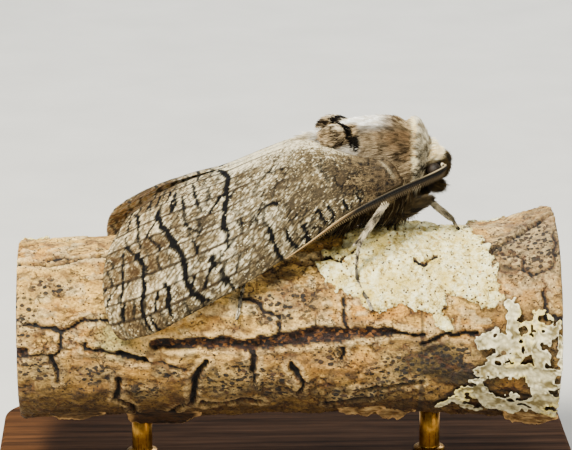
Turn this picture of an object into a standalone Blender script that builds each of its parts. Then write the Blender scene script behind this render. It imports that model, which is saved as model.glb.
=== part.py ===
"""A goat moth at rest along the top of a short cut length of branch, held on a plain display stand.

Sizes are in millimetres, and each mesh is scaled to metres as it is made. +X is the way the moth faces,
+Z is up and -Y is the moth's right side. The origin is the middle of the stand's underside. A height
named rise is measured from the branch's axis at x = 0, and stands BRANCH_AXIS above the origin.
"""

import math
import random

import bpy
import numpy as np
from mathutils import Vector, noise

MM = 0.001
GAP = 0.3

BASE_LENGTH = 68.0
BASE_WIDTH = 38.0
BASE_THICKNESS = 3.0
BASE_CORNER = 5.0
BASE_CHAMFER = 0.6
ROD_RADIUS = 1.2
ROD_SPREAD = 17.0
ROD_SUNK = 1.2

BRANCH_AXIS = 19.0
BRANCH_LENGTH = 62.0
# Branch stations: x, rise of its centre line, radius.
BRANCH_STATIONS = (
    (-31.0, -0.35, 10.3), (-21.0, -0.15, 10.45), (-10.0, 0.0, 10.45), (3.0, 0.15, 10.6), (14.0, 0.38, 11.1),
    (21.0, 0.3, 11.0), (26.0, 0.42, 11.5), (31.0, 0.8, 12.5),
)
BARK_RELIEF = 0.36
BARK_SIDES = 30
BARK_RINGS = 25

WING_THICKNESS = 0.5
WING_ROUNDNESS = 0.85
VEIN_HEIGHT = 0.16
VEIN_HALF_WIDTH = 0.016
TERMEN_BULGE = 2.65
FORE_VEINS = (0.09, 0.21, 0.33, 0.45, 0.57, 0.68, 0.79, 0.9)
HIND_VEINS = (0.15, 0.34, 0.53, 0.72, 0.88)
WING_SPANS = 11
HIND_SPANS = 8
HIND_DROP = 0.98
HIND_START = 0.28
HIND_REACH = 0.53
HIND_LOW_EDGE = 0.7

# The inner margin of the right forewing from its root to the tornus, then its front margin from
# root to apex, as x, y and rise.
WING_RIDGE = (
    (11.4, -5.3, 20.8), (7.7, -5.0, 21.3), (4.6, -3.1, 21.7), (1.9, -0.85, 22.1), (-1.8, -0.4, 20.9),
    (-6.5, -0.45, 18.95), (-11.1, -0.95, 17.55), (-14.8, -1.5, 16.1), (-18.1, -2.1, 14.0),
)
WING_COSTA = (
    (13.2, -5.6, 18.3), (9.9, -6.8, 16.6), (6.2, -7.7, 14.55), (0.4, -9.2, 11.1),
    (-5.3, -10.5, 7.8), (-11.1, -11.5, 4.8), (-15.2, -12.1, 2.8), (-18.6, -12.4, 2.0),
)

# Body stations: x, middle rise, half height and half width.
THORAX_STATIONS = (
    (2.6, 17.0, 3.7, 3.0), (4.2, 17.5, 4.7, 3.7), (6.6, 18.5, 5.8, 4.3), (9.6, 18.75, 6.15, 4.65),
    (12.4, 18.8, 6.1, 4.5), (14.2, 19.0, 5.35, 4.1),
)
ABDOMEN_STATIONS = (
    (2.3, 16.9, 3.6, 3.1), (0.0, 16.0, 3.75, 3.8), (-4.0, 14.6, 3.35, 3.8), (-8.0, 13.8, 2.7, 3.3),
    (-12.0, 13.0, 1.95, 2.5), (-14.6, 12.5, 1.25, 1.6), (-16.2, 12.2, 0.5, 0.7),
)
ABDOMEN_SEGMENTS = 7
ABDOMEN_PINCH = 0.15

# The collar and head are cut from slanted rings: x, rise, slant of the ring in x per rise, half
# height and half width.
COLLAR_RINGS = (
    (14.5, 19.9, 0.0, 4.9, 4.3), (14.9, 19.9, 0.05, 5.0, 4.45), (15.4, 19.6, 0.16, 4.1, 3.7),
    (15.8, 19.4, 0.28, 2.8, 2.9),
)
HEAD_RINGS = (
    (16.2, 19.1, 0.28, 1.6, 2.0), (16.5, 19.1, 0.26, 1.8, 2.3), (17.2, 19.1, 0.15, 1.85, 2.4),
    (18.1, 19.1, 0.0, 1.75, 2.1), (18.65, 19.2, 0.0, 1.4, 1.6), (18.95, 19.3, 0.0, 0.7, 0.8),
)
EYE_RADIUS = 1.05
EYE_PLACE = (16.95, -1.95, 18.75)
PALP_PATH = ((16.0, -0.8, 17.6), (16.5, -0.95, 16.85), (17.3, -0.95, 16.6), (18.2, -0.85, 17.1))
PALP_RADII = (0.5, 0.55, 0.5, 0.3)

ANTENNA_PATH = (
    (17.8, -1.4, 19.3), (18.2, -2.6, 19.35), (17.0, -4.4, 19.15), (14.7, -6.2, 18.65), (11.6, -7.8, 17.75),
    (8.3, -8.75, 16.35), (5.6, -9.3, 14.9), (2.4, -10.0, 12.7), (-0.4, -10.6, 10.9),
)
ANTENNA_SEGMENTS = 26
ANTENNA_STEM = 0.3
ANTENNA_COMB = 0.6
ANTENNA_TIP = 0.16

LEG_SIDES = 8
FEMUR_RADII = (0.95, 1.0, 0.8, 0.5)
TIBIA_RADII = (0.42, 0.52, 0.48, 0.38)
TARSUS_RADIUS = 0.27
SPUR_LENGTH = 1.2
SPUR_RADIUS = 0.24

SHOULDER_SEAT = 0.65
CREST_PATH = ((7.2, -1.7, 23.0), (6.4, -1.9, 23.35), (5.4, -2.1, 23.35), (4.2, -2.0, 23.1))
CREST_RADII = (0.7, 1.25, 1.4, 0.95)
CHEST_LOCKS = 38
CREST_LOCKS = 15
VERTEX_LOCKS = 7
SEED = 7

FINISHES = {
    "wing_scales": ((0.42, 0.38, 0.32), 0.8, 0.0),
    "hindwing_scales": ((0.34, 0.3, 0.26), 0.85, 0.0),
    "thorax_hair": ((0.36, 0.3, 0.23), 0.95, 0.0),
    "abdomen_hair": ((0.33, 0.3, 0.26), 0.95, 0.0),
    "collar_hair": ((0.66, 0.6, 0.46), 0.95, 0.0),
    "head_hair": ((0.12, 0.1, 0.08), 0.95, 0.0),
    "eye": ((0.05, 0.045, 0.04), 0.3, 0.0),
    "antenna": ((0.16, 0.14, 0.12), 0.6, 0.0),
    "leg": ((0.3, 0.28, 0.25), 0.8, 0.0),
    "bark": ((0.62, 0.47, 0.3), 0.9, 0.0),
    "stand_wood": ((0.12, 0.07, 0.045), 0.45, 0.0),
    "rod_brass": ((0.75, 0.58, 0.3), 0.3, 1.0),
}


def clear_scene():
    for obj in list(bpy.data.objects):
        bpy.data.objects.remove(obj)


def finish_named(name):
    material = bpy.data.materials.get(name)
    if material:
        return material
    colour, roughness, metallic = FINISHES[name]
    material = bpy.data.materials.new(name)
    material.use_nodes = True
    shader = material.node_tree.nodes["Principled BSDF"]
    shader.inputs["Base Color"].default_value = (*colour, 1.0)
    shader.inputs["Roughness"].default_value = roughness
    shader.inputs["Metallic"].default_value = metallic
    return material


def solid(name, points, faces, finish):
    """A mesh object from points in millimetres."""
    mesh = bpy.data.meshes.new(name)
    mesh.from_pydata([Vector(p) * MM for p in points], [], faces)
    mesh.materials.append(finish_named(finish))
    obj = bpy.data.objects.new(name, mesh)
    bpy.context.scene.collection.objects.link(obj)
    return obj


def through(points, share):
    """The point at a share of the way along a smooth curve through the points."""
    points = np.asarray(points, float)
    spans = len(points) - 1
    place = min(max(share, 0.0), 1.0) * spans
    i = min(int(place), spans - 1)
    t = place - i
    a, b = points[i], points[i + 1]
    before = points[i - 1] if i else 2 * a - b
    after = points[i + 2] if i + 2 <= spans else 2 * b - a
    return 0.5 * (
        2 * a + (b - before) * t + (2 * before - 5 * a + 4 * b - after) * t**2
        + (3 * a - before - 3 * b + after) * t**3
    )


def loft(name, rings, finish):
    """A closed skin through rings of points. A ring of one point is a tip."""
    points, faces, starts = [], [], []
    for ring in rings:
        starts.append(len(points))
        points.extend(ring)
    for k in range(len(rings) - 1):
        near, far = starts[k], starts[k + 1]
        n, m = len(rings[k]), len(rings[k + 1])
        for i in range(max(n, m)):
            j = (i + 1) % max(n, m)
            if n == 1:
                faces.append((near, far + i, far + j))
            elif m == 1:
                faces.append((near + i, far, near + j))
            else:
                faces.append((near + i, far + i, far + j))
                faces.append((near + i, far + j, near + j))
    if len(rings[0]) > 1:
        faces.append(tuple(range(len(rings[0]))))
    if len(rings[-1]) > 1:
        faces.append(tuple(reversed(range(starts[-1], len(points)))))
    turned = [tuple(reversed(face)) for face in faces]
    return solid(name, points, turned if signed_volume(points, faces) < 0 else faces, finish)


def signed_volume(points, faces):
    points = np.asarray(points, float)
    total = 0.0
    for face in faces:
        for i in range(1, len(face) - 1):
            total += np.linalg.det(points[[face[0], face[i], face[i + 1]]])
    return total


def framed_rings(path, sections):
    """Rings set square to a path. A section is a list of (side, up) pairs, and None is a tip."""
    path = np.asarray(path, float)
    rings = []
    for i, section in enumerate(sections):
        if section is None:
            rings.append([path[i]])
            continue
        along = path[min(i + 1, len(path) - 1)] - path[max(i - 1, 0)]
        along /= np.linalg.norm(along)
        side = np.cross(along, (0.0, 0.0, 1.0))
        if np.linalg.norm(side) < 0.05:
            side = np.array((0.0, 1.0, 0.0))
        side /= np.linalg.norm(side)
        up = np.cross(side, along)
        rings.append([path[i] + a * side + b * up for a, b in section])
    return rings


def round_section(radius, sides, flatness=1.0):
    turns = [2 * math.pi * k / sides for k in range(sides)]
    return [(radius * math.cos(t), radius * flatness * math.sin(t)) for t in turns]


def lifted(path):
    """Points given by rise, moved up to their height over the stand's underside."""
    return [(x, y, z + BRANCH_AXIS) for x, y, z in path]


def mirrored(path, side):
    return [(x, y * side, z) for x, y, z in path]


def copied(obj, name):
    twin = obj.copy()
    twin.data = obj.data.copy()
    twin.name = name
    bpy.context.scene.collection.objects.link(twin)
    return twin


def swollen(obj, by):
    """A copy of a solid with every point moved out by a distance, to cut its neighbours clear of it."""
    twin = copied(obj, obj.name + "_swollen")
    normals = [v.normal.copy() for v in obj.data.vertices]
    for vertex, normal in zip(twin.data.vertices, normals):
        vertex.co += normal * by * MM
    return twin


def settle(obj, modifier):
    """Applies a Boolean and keeps the largest closed surface that it leaves."""
    graph = bpy.context.evaluated_depsgraph_get()
    mesh = bpy.data.meshes.new_from_object(obj.evaluated_get(graph))
    obj.modifiers.remove(modifier)
    obj.data = mesh
    keep_largest(obj)


def keep_largest(obj):
    mesh = obj.data
    links = [[] for _ in mesh.vertices]
    for edge in mesh.edges:
        a, b = edge.vertices
        links[a].append(b)
        links[b].append(a)
    group = [-1] * len(links)
    count = 0
    for start in range(len(links)):
        if group[start] >= 0:
            continue
        group[start] = count
        stack = [start]
        while stack:
            for other in links[stack.pop()]:
                if group[other] < 0:
                    group[other] = count
                    stack.append(other)
        count += 1
    if count < 2:
        return
    points = [v.co[:] for v in mesh.vertices]
    volumes = [0.0] * count
    members = [[] for _ in range(count)]
    for face in mesh.polygons:
        corners = tuple(face.vertices)
        members[group[corners[0]]].append(corners)
    for k in range(count):
        volumes[k] = signed_volume(points, members[k]) if members[k] else 0.0
    best = max(range(count), key=lambda k: volumes[k])
    used = sorted({v for corners in members[best] for v in corners})
    place = {v: i for i, v in enumerate(used)}
    kept = bpy.data.meshes.new(mesh.name)
    kept.from_pydata([points[v] for v in used], [], [[place[v] for v in f] for f in members[best]])
    for material in mesh.materials:
        kept.materials.append(material)
    obj.data = kept


def boolean(obj, others, operation, solver="EXACT"):
    """One Boolean of a solid with several others, which are then removed."""
    group = bpy.data.collections.new(obj.name + "_tools")
    for other in others:
        group.objects.link(other)
    modifier = obj.modifiers.new("join", "BOOLEAN")
    modifier.operation = operation
    modifier.operand_type = "COLLECTION"
    modifier.collection = group
    modifier.solver = solver
    settle(obj, modifier)
    for other in others:
        bpy.data.objects.remove(other)
    bpy.data.collections.remove(group)


def cut_clear(obj, *neighbours, by=GAP):
    boolean(obj, [swollen(neighbour, by) for neighbour in neighbours], "DIFFERENCE")


def branch_centre(x):
    return BRANCH_AXIS + at_x(BRANCH_STATIONS, x)[1]


def branch_radius(x, turn):
    """The bark's distance from the branch's axis, at an angle from the top towards -Y."""
    plain = at_x(BRANCH_STATIONS, x)[2]
    around = Vector((x * 0.09, 1.1 * math.sin(turn), 1.1 * math.cos(turn)))
    lumps = noise.noise(around * 1.3) + 0.5 * noise.noise(around * 3.1)
    knot = 1.0 * math.exp(-((x - 21.0) / 5.0) ** 2) * math.exp(-((turn - 4.2) / 0.5) ** 2)
    return plain + BARK_RELIEF * lumps + knot


def on_branch(x, turn, clearance):
    radius = branch_radius(x, turn % (2 * math.pi)) + clearance
    return (x, -radius * math.sin(turn), branch_centre(x) + radius * math.cos(turn))


def make_branch():
    rings = []
    for i in range(BARK_RINGS):
        x = BRANCH_LENGTH * (i / (BARK_RINGS - 1) - 0.5)
        turns = [2 * math.pi * k / BARK_SIDES for k in range(BARK_SIDES)]
        rings.append([on_branch(x, turn, 0.0) for turn in turns])
    return loft("perch_branch", rings, "bark")


def plate_outline(inset, z):
    """A rectangle with round corners, each corner an arc."""
    corner = BASE_CORNER - inset
    points = []
    for k, (sx, sy) in enumerate(((1, 1), (-1, 1), (-1, -1), (1, -1))):
        for step in range(6):
            turn = math.pi / 2 * (k + step / 5)
            points.append((
                sx * (BASE_LENGTH / 2 - BASE_CORNER) + corner * math.cos(turn),
                sy * (BASE_WIDTH / 2 - BASE_CORNER) + corner * math.sin(turn), z,
            ))
    return points


def make_stand(branch):
    top = BASE_THICKNESS
    rings = [
        plate_outline(0, 0), plate_outline(0, top - BASE_CHAMFER), plate_outline(BASE_CHAMFER, top),
    ]
    loft("stand_base", rings, "stand_wood")
    for name, x in (("stand_rod_rear", -ROD_SPREAD), ("stand_rod_front", ROD_SPREAD)):
        bottom = BASE_THICKNESS + GAP
        reach = branch_centre(x) - branch_radius(x, math.pi) + ROD_SUNK
        circle = round_section(ROD_RADIUS, 16)
        rings = [[(x + a, b, z) for a, b in circle] for z in (bottom, reach)]
        rod = loft(name, rings, "rod_brass")
        cut_clear(rod, branch)


def body_point(station, turn, away=0.0):
    """A point a distance out from the body, at an angle round it from the -Y side up over the top."""
    x, rise, half_height, half_width = station
    wide, high = half_width + away, half_height + away
    return (x, -wide * math.cos(turn), BRANCH_AXIS + rise + high * math.sin(turn))


def shoulder_seat(x, turn):
    """How far the thorax is sunk for the shoulder flap to lie in."""
    lean = abs(90 - math.degrees(turn) % 360)
    along = smooth_step(5.2, 7.0, x) * (1 - smooth_step(13.4, 14.2, x))
    return SHOULDER_SEAT * along * smooth_step(16, 28, lean) * (1 - smooth_step(66, 80, lean))


def smooth_step(low, high, value):
    share = min(max((value - low) / (high - low), 0.0), 1.0)
    return share * share * (3 - 2 * share)


def body_rings(stations, count, sides, shape):
    """Rings round a body, whose shape gives the distance out at (share, x, turn)."""
    rings = []
    for i in range(count):
        share = i / (count - 1)
        station = through(stations, share)
        turns = [2 * math.pi * k / sides for k in range(sides)]
        rings.append([body_point(station, t, shape(share, station[0], t)) for t in turns])
    return rings


def make_abdomen():
    def shape(share, x, turn):
        return -ABDOMEN_PINCH * (0.5 + 0.5 * math.cos(2 * math.pi * ABDOMEN_SEGMENTS * share))

    return loft("abdomen", body_rings(ABDOMEN_STATIONS, 22, 18, shape), "abdomen_hair")


def slanted_rings(rows, sides):
    rings = []
    for x, rise, slant, half_height, half_width in rows:
        ring = []
        for k in range(sides):
            turn = 2 * math.pi * k / sides
            lift = half_height * math.sin(turn)
            ring.append((x + slant * lift, half_width * math.cos(turn), BRANCH_AXIS + rise + lift))
        rings.append(ring)
    return rings


def lock(root, tip, width, sag, finish, thickness=0.42):
    """A flat tapered lock that bends as it leaves its root, with its root end sunk."""
    root, tip = Vector(root), Vector(tip)
    bend = Vector((0, 0, -sag))
    path = [root, root.lerp(tip, 0.4) + bend * 0.7, root.lerp(tip, 0.75) + bend * 0.5, tip]
    flat = [(1.0, 0.0), (0.0, 1.0), (-1.0, 0.0), (0.0, -1.0)]
    sections = [
        [(a * width * k / 2, b * thickness * k / 2) for a, b in flat] for k in (0.9, 1.0, 0.65)
    ]
    return loft("lock", framed_rings(path, [*sections, None]), finish)


def make_thorax(legs_clear):
    """The thorax, its shaggy chest and the two tufts that overhang the roots of the wings."""
    def shape(share, x, turn):
        return -shoulder_seat(x, turn)

    core = loft("thorax", body_rings(THORAX_STATIONS, 13, 26, shape), "thorax_hair")
    draw = random.Random(SEED)
    extras = []
    for side in (1, -1):
        path = lifted(mirrored(CREST_PATH, side))
        sections = [round_section(r, 8, 0.85) for r in CREST_RADII]
        extras.append(loft("tuft", framed_rings(path, sections), "thorax_hair"))
    for i in range(CREST_LOCKS):
        spread = (i / (CREST_LOCKS - 1) - 0.5) * 2
        row = i % 2
        root = (5.2 - 0.4 * row, 2.4 * spread, BRANCH_AXIS + 23.1 + 0.8 * row - 0.3 * spread**2)
        reach = 1.9 + 0.3 * draw.random()
        tip = (root[0] - reach, 2.8 * spread, root[2] - 0.3 - 0.3 * row)
        extras.append(lock(root, tip, 0.9, -0.25, "thorax_hair"))
    made = 0
    while made < CHEST_LOCKS:
        x = 4.6 + 9.0 * draw.random()
        turn = math.radians(205 + 130 * draw.random())
        station = at_x(THORAX_STATIONS, x)
        skin = Vector(body_point(station, turn))
        out = Vector((0, -math.cos(turn), math.sin(turn)))
        back = Vector((-1.6 - 0.5 * draw.random(), 0, -0.15))
        tip = skin + out * (0.6 + 0.35 * draw.random()) + back
        if not legs_clear(tip) or not legs_clear((skin + tip) / 2):
            continue
        extras.append(lock(skin - out * 0.7, tip, 0.85, 0.12, "thorax_hair"))
        made += 1
    return core, extras


def at_x(stations, x):
    """The body station at a given x, found along the smooth curve through the stations."""
    low, high = 0.0, 1.0
    rising = stations[-1][0] > stations[0][0]
    for _ in range(24):
        middle = (low + high) / 2
        if (through(stations, middle)[0] < x) == rising:
            low = middle
        else:
            high = middle
    return through(stations, low)


def make_tegula(name, side):
    """The shoulder flap that covers the wing's root, as a tapered shell seated in the thorax."""
    rows, columns = 8, 6
    outer, inner = [], []
    for i in range(rows):
        along = i / (rows - 1)
        station = at_x(THORAX_STATIONS, 13.5 - 5.3 * along)
        reach = math.sin(math.pi * (0.2 + 0.68 * along)) ** 0.7
        for j in range(columns):
            across = 2 * j / (columns - 1) - 1
            turn = math.radians(90 - (46 + 19 * reach * across))
            edge = min(j, columns - 1 - j, i, rows - 1 - i)
            thickness = 0.5 if edge == 0 else 0.75
            for shell, away in ((inner, 0.0), (outer, thickness)):
                x, y, z = body_point(station, turn, GAP + 0.1 - SHOULDER_SEAT + away)
                shell.append((x, side * y, z))
    return sheet_solid(name, outer, inner, rows, columns, "thorax_hair")


def sheet_solid(name, outer, inner, rows, columns, finish):
    """A closed sheet between two grids of points, split into triangles alike on both faces."""
    count = rows * columns
    faces = []
    for i in range(rows - 1):
        for j in range(columns - 1):
            a, b = i * columns + j, i * columns + j + 1
            c, d = a + columns + 1, a + columns
            for p, q, r in ((a, b, c), (a, c, d)):
                faces.append((p, q, r))
                faces.append((count + p, count + r, count + q))
    rim = [j for j in range(columns)]
    rim += [i * columns + columns - 1 for i in range(1, rows)]
    rim += [(rows - 1) * columns + j for j in range(columns - 2, -1, -1)]
    rim += [i * columns for i in range(rows - 2, 0, -1)]
    for k, a in enumerate(rim):
        b = rim[(k + 1) % len(rim)]
        faces.append((b, a, count + a))
        faces.append((b, count + a, count + b))
    points = outer + inner
    if signed_volume(points, faces) < 0:
        faces = [tuple(reversed(face)) for face in faces]
    return solid(name, points, faces, finish)


def wing_middle(u, v):
    """The middle of the right forewing's membrane, u from root to outer margin, v from ridge to costa."""
    ridge, costa = through(WING_RIDGE, u), through(WING_COSTA, u)
    quarter = v * math.pi / 2
    out = (1 - WING_ROUNDNESS) * v + WING_ROUNDNESS * math.sin(quarter)
    down = (1 - WING_ROUNDNESS) * v + WING_ROUNDNESS * (1 - math.cos(quarter))
    bulge = TERMEN_BULGE * u**4 * max(math.sin(math.pi * v**1.5), 0.0) ** (1 - 0.5 * v)
    return np.array((
        ridge[0] + (costa[0] - ridge[0]) * v - bulge,
        ridge[1] + (costa[1] - ridge[1]) * out,
        BRANCH_AXIS + ridge[2] + (costa[2] - ridge[2]) * down,
    ))


def wing_normal(u, v):
    """The outward direction of the right forewing there."""
    step = 0.004
    u0, u1 = max(u - step, 0.0), min(u + step, 1.0)
    v0, v1 = max(v - step, 0.0), min(v + step, 1.0)
    along = wing_middle(u1, v) - wing_middle(u0, v)
    across = wing_middle(u, v1) - wing_middle(u, v0)
    normal = np.cross(along, across)
    normal /= np.linalg.norm(normal)
    return -normal if np.dot(normal, (0.0, -0.8, 0.6)) < 0 else normal


def vein_rows(veins):
    """Rows across a wing, three to each vein: its crest and the membrane on each side. Each is (v, crest)."""
    rows = [(0.0, 0.0)]
    for vein in veins:
        rows += [(vein - VEIN_HALF_WIDTH, 0.0), (vein, 1.0), (vein + VEIN_HALF_WIDTH, 0.0)]
    return [*rows, (1.0, 0.0)]


def make_forewing(name, side):
    rows = vein_rows(FORE_VEINS)
    outer, inner = [], []
    for i in range(WING_SPANS + 1):
        u = i / WING_SPANS
        for v, crest in rows:
            middle, normal = wing_middle(u, v), wing_normal(u, v)
            ridge = VEIN_HEIGHT * crest * min(1.0, 3 * u)
            for shell, lift in ((outer, WING_THICKNESS / 2 + ridge), (inner, -WING_THICKNESS / 2)):
                x, y, z = middle + normal * lift
                shell.append((x, side * y, z))
    return sheet_solid(name, outer, inner, WING_SPANS + 1, len(rows), "wing_scales")


def make_hindwing(name, side):
    """The hindwing, folded under the forewing along the side of the abdomen."""
    rows = vein_rows(HIND_VEINS)
    outer, inner = [], []
    for i in range(HIND_SPANS + 1):
        along = i / HIND_SPANS
        for w, crest in rows:
            rounding = 0.16 * (2 * w - 1) ** 2
            u = HIND_START + HIND_REACH * along * (1 - rounding)
            v = 0.07 + HIND_LOW_EDGE * w * (0.42 + 0.58 * math.sin(math.pi / 2 * min(1.0, 1.6 * along)))
            middle, normal = wing_middle(u, v), wing_normal(u, v)
            ridge = 0.1 * crest * along
            for shell, lift in ((outer, 0.25), (inner, -0.25 - ridge)):
                x, y, z = middle + normal * (lift - HIND_DROP)
                shell.append((x, side * y, z))
    return sheet_solid(name, outer, inner, HIND_SPANS + 1, len(rows), "hindwing_scales")


def make_head():
    head = loft("head", slanted_rings(HEAD_RINGS, 18), "head_hair")
    locks = []
    for i in range(VERTEX_LOCKS):
        spread = (i / (VERTEX_LOCKS - 1) - 0.5) * 2
        root = (16.9, 1.0 * spread, BRANCH_AXIS + 20.4 - 0.3 * spread**2)
        tip = (18.2 - 0.2 * spread**2, 1.4 * spread, BRANCH_AXIS + 21.2 - 0.8 * spread**2)
        locks.append(lock(root, tip, 0.75, -0.2, "head_hair"))
    boolean(head, locks, "UNION")
    return head


def make_eye(name, side):
    x, y, rise = EYE_PLACE
    rings = [[(x, side * (y - EYE_RADIUS), BRANCH_AXIS + rise)]]
    for k in range(1, 7):
        polar = math.pi * k / 7
        circle = round_section(EYE_RADIUS * math.sin(polar), 12)
        depth = side * (y - EYE_RADIUS * math.cos(polar))
        rings.append([(x + a, depth, BRANCH_AXIS + rise + b) for a, b in circle])
    rings.append([(x, side * (y + EYE_RADIUS), BRANCH_AXIS + rise)])
    return loft(name, rings, "eye")


def make_palp(name, side):
    path = lifted(mirrored(PALP_PATH, side))
    steps = 7
    points = [through(path, k / (steps - 1)) for k in range(steps)]
    radii = [through([(r,) for r in PALP_RADII], k / (steps - 1))[0] for k in range(steps)]
    return loft(name, framed_rings(points, [round_section(r, 8, 1.2) for r in radii]), "head_hair")


def make_antenna(name, side):
    """A stem with a pair of short comb plates on the underside of each segment."""
    path = lifted(mirrored(ANTENNA_PATH, side))
    points, sections = [], []
    for k in range(2 * ANTENNA_SEGMENTS):
        share = k / (2 * ANTENNA_SEGMENTS)
        points.append(through(path, share))
        taper = 1.0 if share < 0.6 else 1.0 - 0.4 * (share - 0.6) / 0.4
        comb = ANTENNA_COMB if k % 2 and share > 0.06 else ANTENNA_STEM
        stem = ANTENNA_STEM * taper
        plate = stem + (comb - ANTENNA_STEM) * min(1.0, 5 * share) * min(1.0, 1.6 * (1 - share)) * taper
        sections.append([
            (stem, 0.0), (0.0, stem), (-stem, 0.0), (-plate * 0.85, -plate * 0.6),
            (0.0, -stem), (plate * 0.85, -plate * 0.6),
        ])
    points.append(through(path, 1.0))
    sections.append(round_section(ANTENNA_TIP, 6))
    return loft(name, framed_rings(points, sections), "antenna")


def tapered_limb(points, radii, sides, finish):
    """A round limb through points, with a short rounded end at each joint."""
    path = [np.array(p, float) for p in points]
    start = path[0] - path[1]
    end = path[-1] - path[-2]
    start *= 0.6 * radii[0] / np.linalg.norm(start)
    end *= 0.6 * radii[-1] / np.linalg.norm(end)
    path = [path[0] + start, *path, path[-1] + end]
    widths = [0.55 * radii[0], *radii, 0.55 * radii[-1]]
    return loft("limb", framed_rings(path, [round_section(r, sides) for r in widths]), finish)


def make_leg(name, side, hip, knee, ankle, feet, spurs):
    """A leg of three parts. Hip, knee and ankle are points by rise, feet are (x, degrees) on the bark."""
    hip, knee, ankle = [np.array(p) for p in lifted(mirrored((hip, knee, ankle), side))]
    femur = [hip + share * (knee - hip) for share in (0.0, 0.4, 0.75, 1.0)]
    shin = [knee + share * (ankle - knee) for share in (0.0, 0.35, 0.75, 1.0)]
    clearance = GAP + TARSUS_RADIUS + 0.08
    soles = [ankle, *mirrored([on_branch(x, math.radians(turn), clearance) for x, turn in feet], side)]
    count = 2 * len(soles)
    foot = [through(soles, k / (count - 1)) for k in range(count)]
    swell = [TARSUS_RADIUS * (1.0, 0.84)[k % 2] for k in range(count)]
    leg = tapered_limb(femur, FEMUR_RADII, LEG_SIDES, "leg")
    pieces = [
        tapered_limb(shin, TIBIA_RADII, LEG_SIDES, "leg"),
        tapered_limb(foot, swell, LEG_SIDES - 1, "leg"),
    ]
    along = (ankle - knee) / np.linalg.norm(ankle - knee)
    across = np.cross(along, (0.0, 0.0, 1.0))
    across /= np.linalg.norm(across)
    for share, way in spurs:
        root = knee + share * (ankle - knee)
        tip = root + along * SPUR_LENGTH * 0.8 + across * way * SPUR_LENGTH * 0.6
        rings = framed_rings([root, (root + tip) / 2, tip], [
            round_section(SPUR_RADIUS, 4), round_section(SPUR_RADIUS, 4), None,
        ])
        pieces.append(loft("spur", rings, "leg"))
    boolean(leg, pieces, "UNION")
    leg.name = name
    return leg


FRONT_LEG = {
    "hip": (12.7, -2.5, 13.9), "knee": (16.2, -3.6, 15.7), "ankle": (19.2, -2.2, 12.9),
    "feet": ((19.9, 8), (20.5, 6), (21.1, 5)), "spurs": (),
}
FRONT_LEG_FAR = {
    "hip": (12.2, -2.3, 14.2), "knee": (13.8, -5.4, 14.9), "ankle": (14.0, -7.0, 12.0),
    "feet": ((14.5, 37), (14.9, 43), (15.2, 49)), "spurs": (),
}
MIDDLE_LEG = {
    "hip": (9.0, -2.6, 14.4), "knee": (11.4, -6.3, 16.5), "ankle": (8.0, -8.4, 12.1),
    "feet": ((7.7, 43), (8.0, 52), (8.7, 59), (9.4, 67)), "spurs": ((0.94, 1), (0.94, -1)),
}
HIND_LEG = {
    "hip": (6.2, -2.4, 14.0), "knee": (2.2, -5.8, 14.0), "ankle": (-4.5, -6.6, 9.6),
    "feet": ((-5.0, 47), (-5.3, 54), (-5.6, 62), (-5.9, 70)), "spurs": ((0.55, 1), (0.94, 1)),
}


def make_legs():
    legs = []
    for side, word in ((1, "right"), (-1, "left")):
        front = FRONT_LEG if side == 1 else FRONT_LEG_FAR
        legs.append(make_leg("leg_front_" + word, side, **front))
        legs.append(make_leg("leg_middle_" + word, side, **MIDDLE_LEG))
        legs.append(make_leg("leg_hind_" + word, side, **HIND_LEG))
    return legs


def clearance_test(legs, distance):
    """A test that a point in millimetres is further than a distance from every leg's surface."""
    cloud = np.array([v.co[:] for leg in legs for v in leg.data.vertices]) / MM

    def clear(point):
        return np.min(np.linalg.norm(cloud - np.array(point), axis=1)) > distance
    return clear


def main():
    clear_scene()
    branch = make_branch()
    make_stand(branch)
    hindwings = []
    for side, word in ((1, "right"), (-1, "left")):
        make_forewing("forewing_" + word, side)
        hindwings.append(make_hindwing("hindwing_" + word, side))
        make_tegula("tegula_" + word, -side)
    make_abdomen()
    legs = make_legs()
    thorax, extras = make_thorax(clearance_test(legs, 1.1))
    collar = loft("collar", slanted_rings(COLLAR_RINGS, 22), "collar_hair")
    for leg in legs:
        cut_clear(leg, thorax)
        if "front" in leg.name:
            cut_clear(leg, collar)
    for other in (collar, *hindwings):
        cut_clear(other, thorax)
    boolean(thorax, extras, "UNION", "MANIFOLD")
    head = make_head()
    for side, word in ((1, "right"), (-1, "left")):
        eye = make_eye("eye_" + word, side)
        cut_clear(head, eye)
        cut_clear(make_palp("palp_" + word, side), head)
        antenna = make_antenna("antenna_" + word, side)
        cut_clear(antenna, head)
        cut_clear(antenna, eye)


main()
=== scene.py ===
"""Dresses the goat moth, its length of branch and its stand for the render.

Sizes are in millimetres, and each mesh is scaled to metres as it is made. +X is the way the moth faces,
+Z is up and -Y is the moth's right side. A height named rise is measured from the branch's axis, which
stands BRANCH_AXIS above the underside of the stand. A side of 1 is the moth's right and -1 its left.
"""

import itertools
import math

import bmesh
import bpy
import numpy as np
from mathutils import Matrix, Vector, noise


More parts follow.
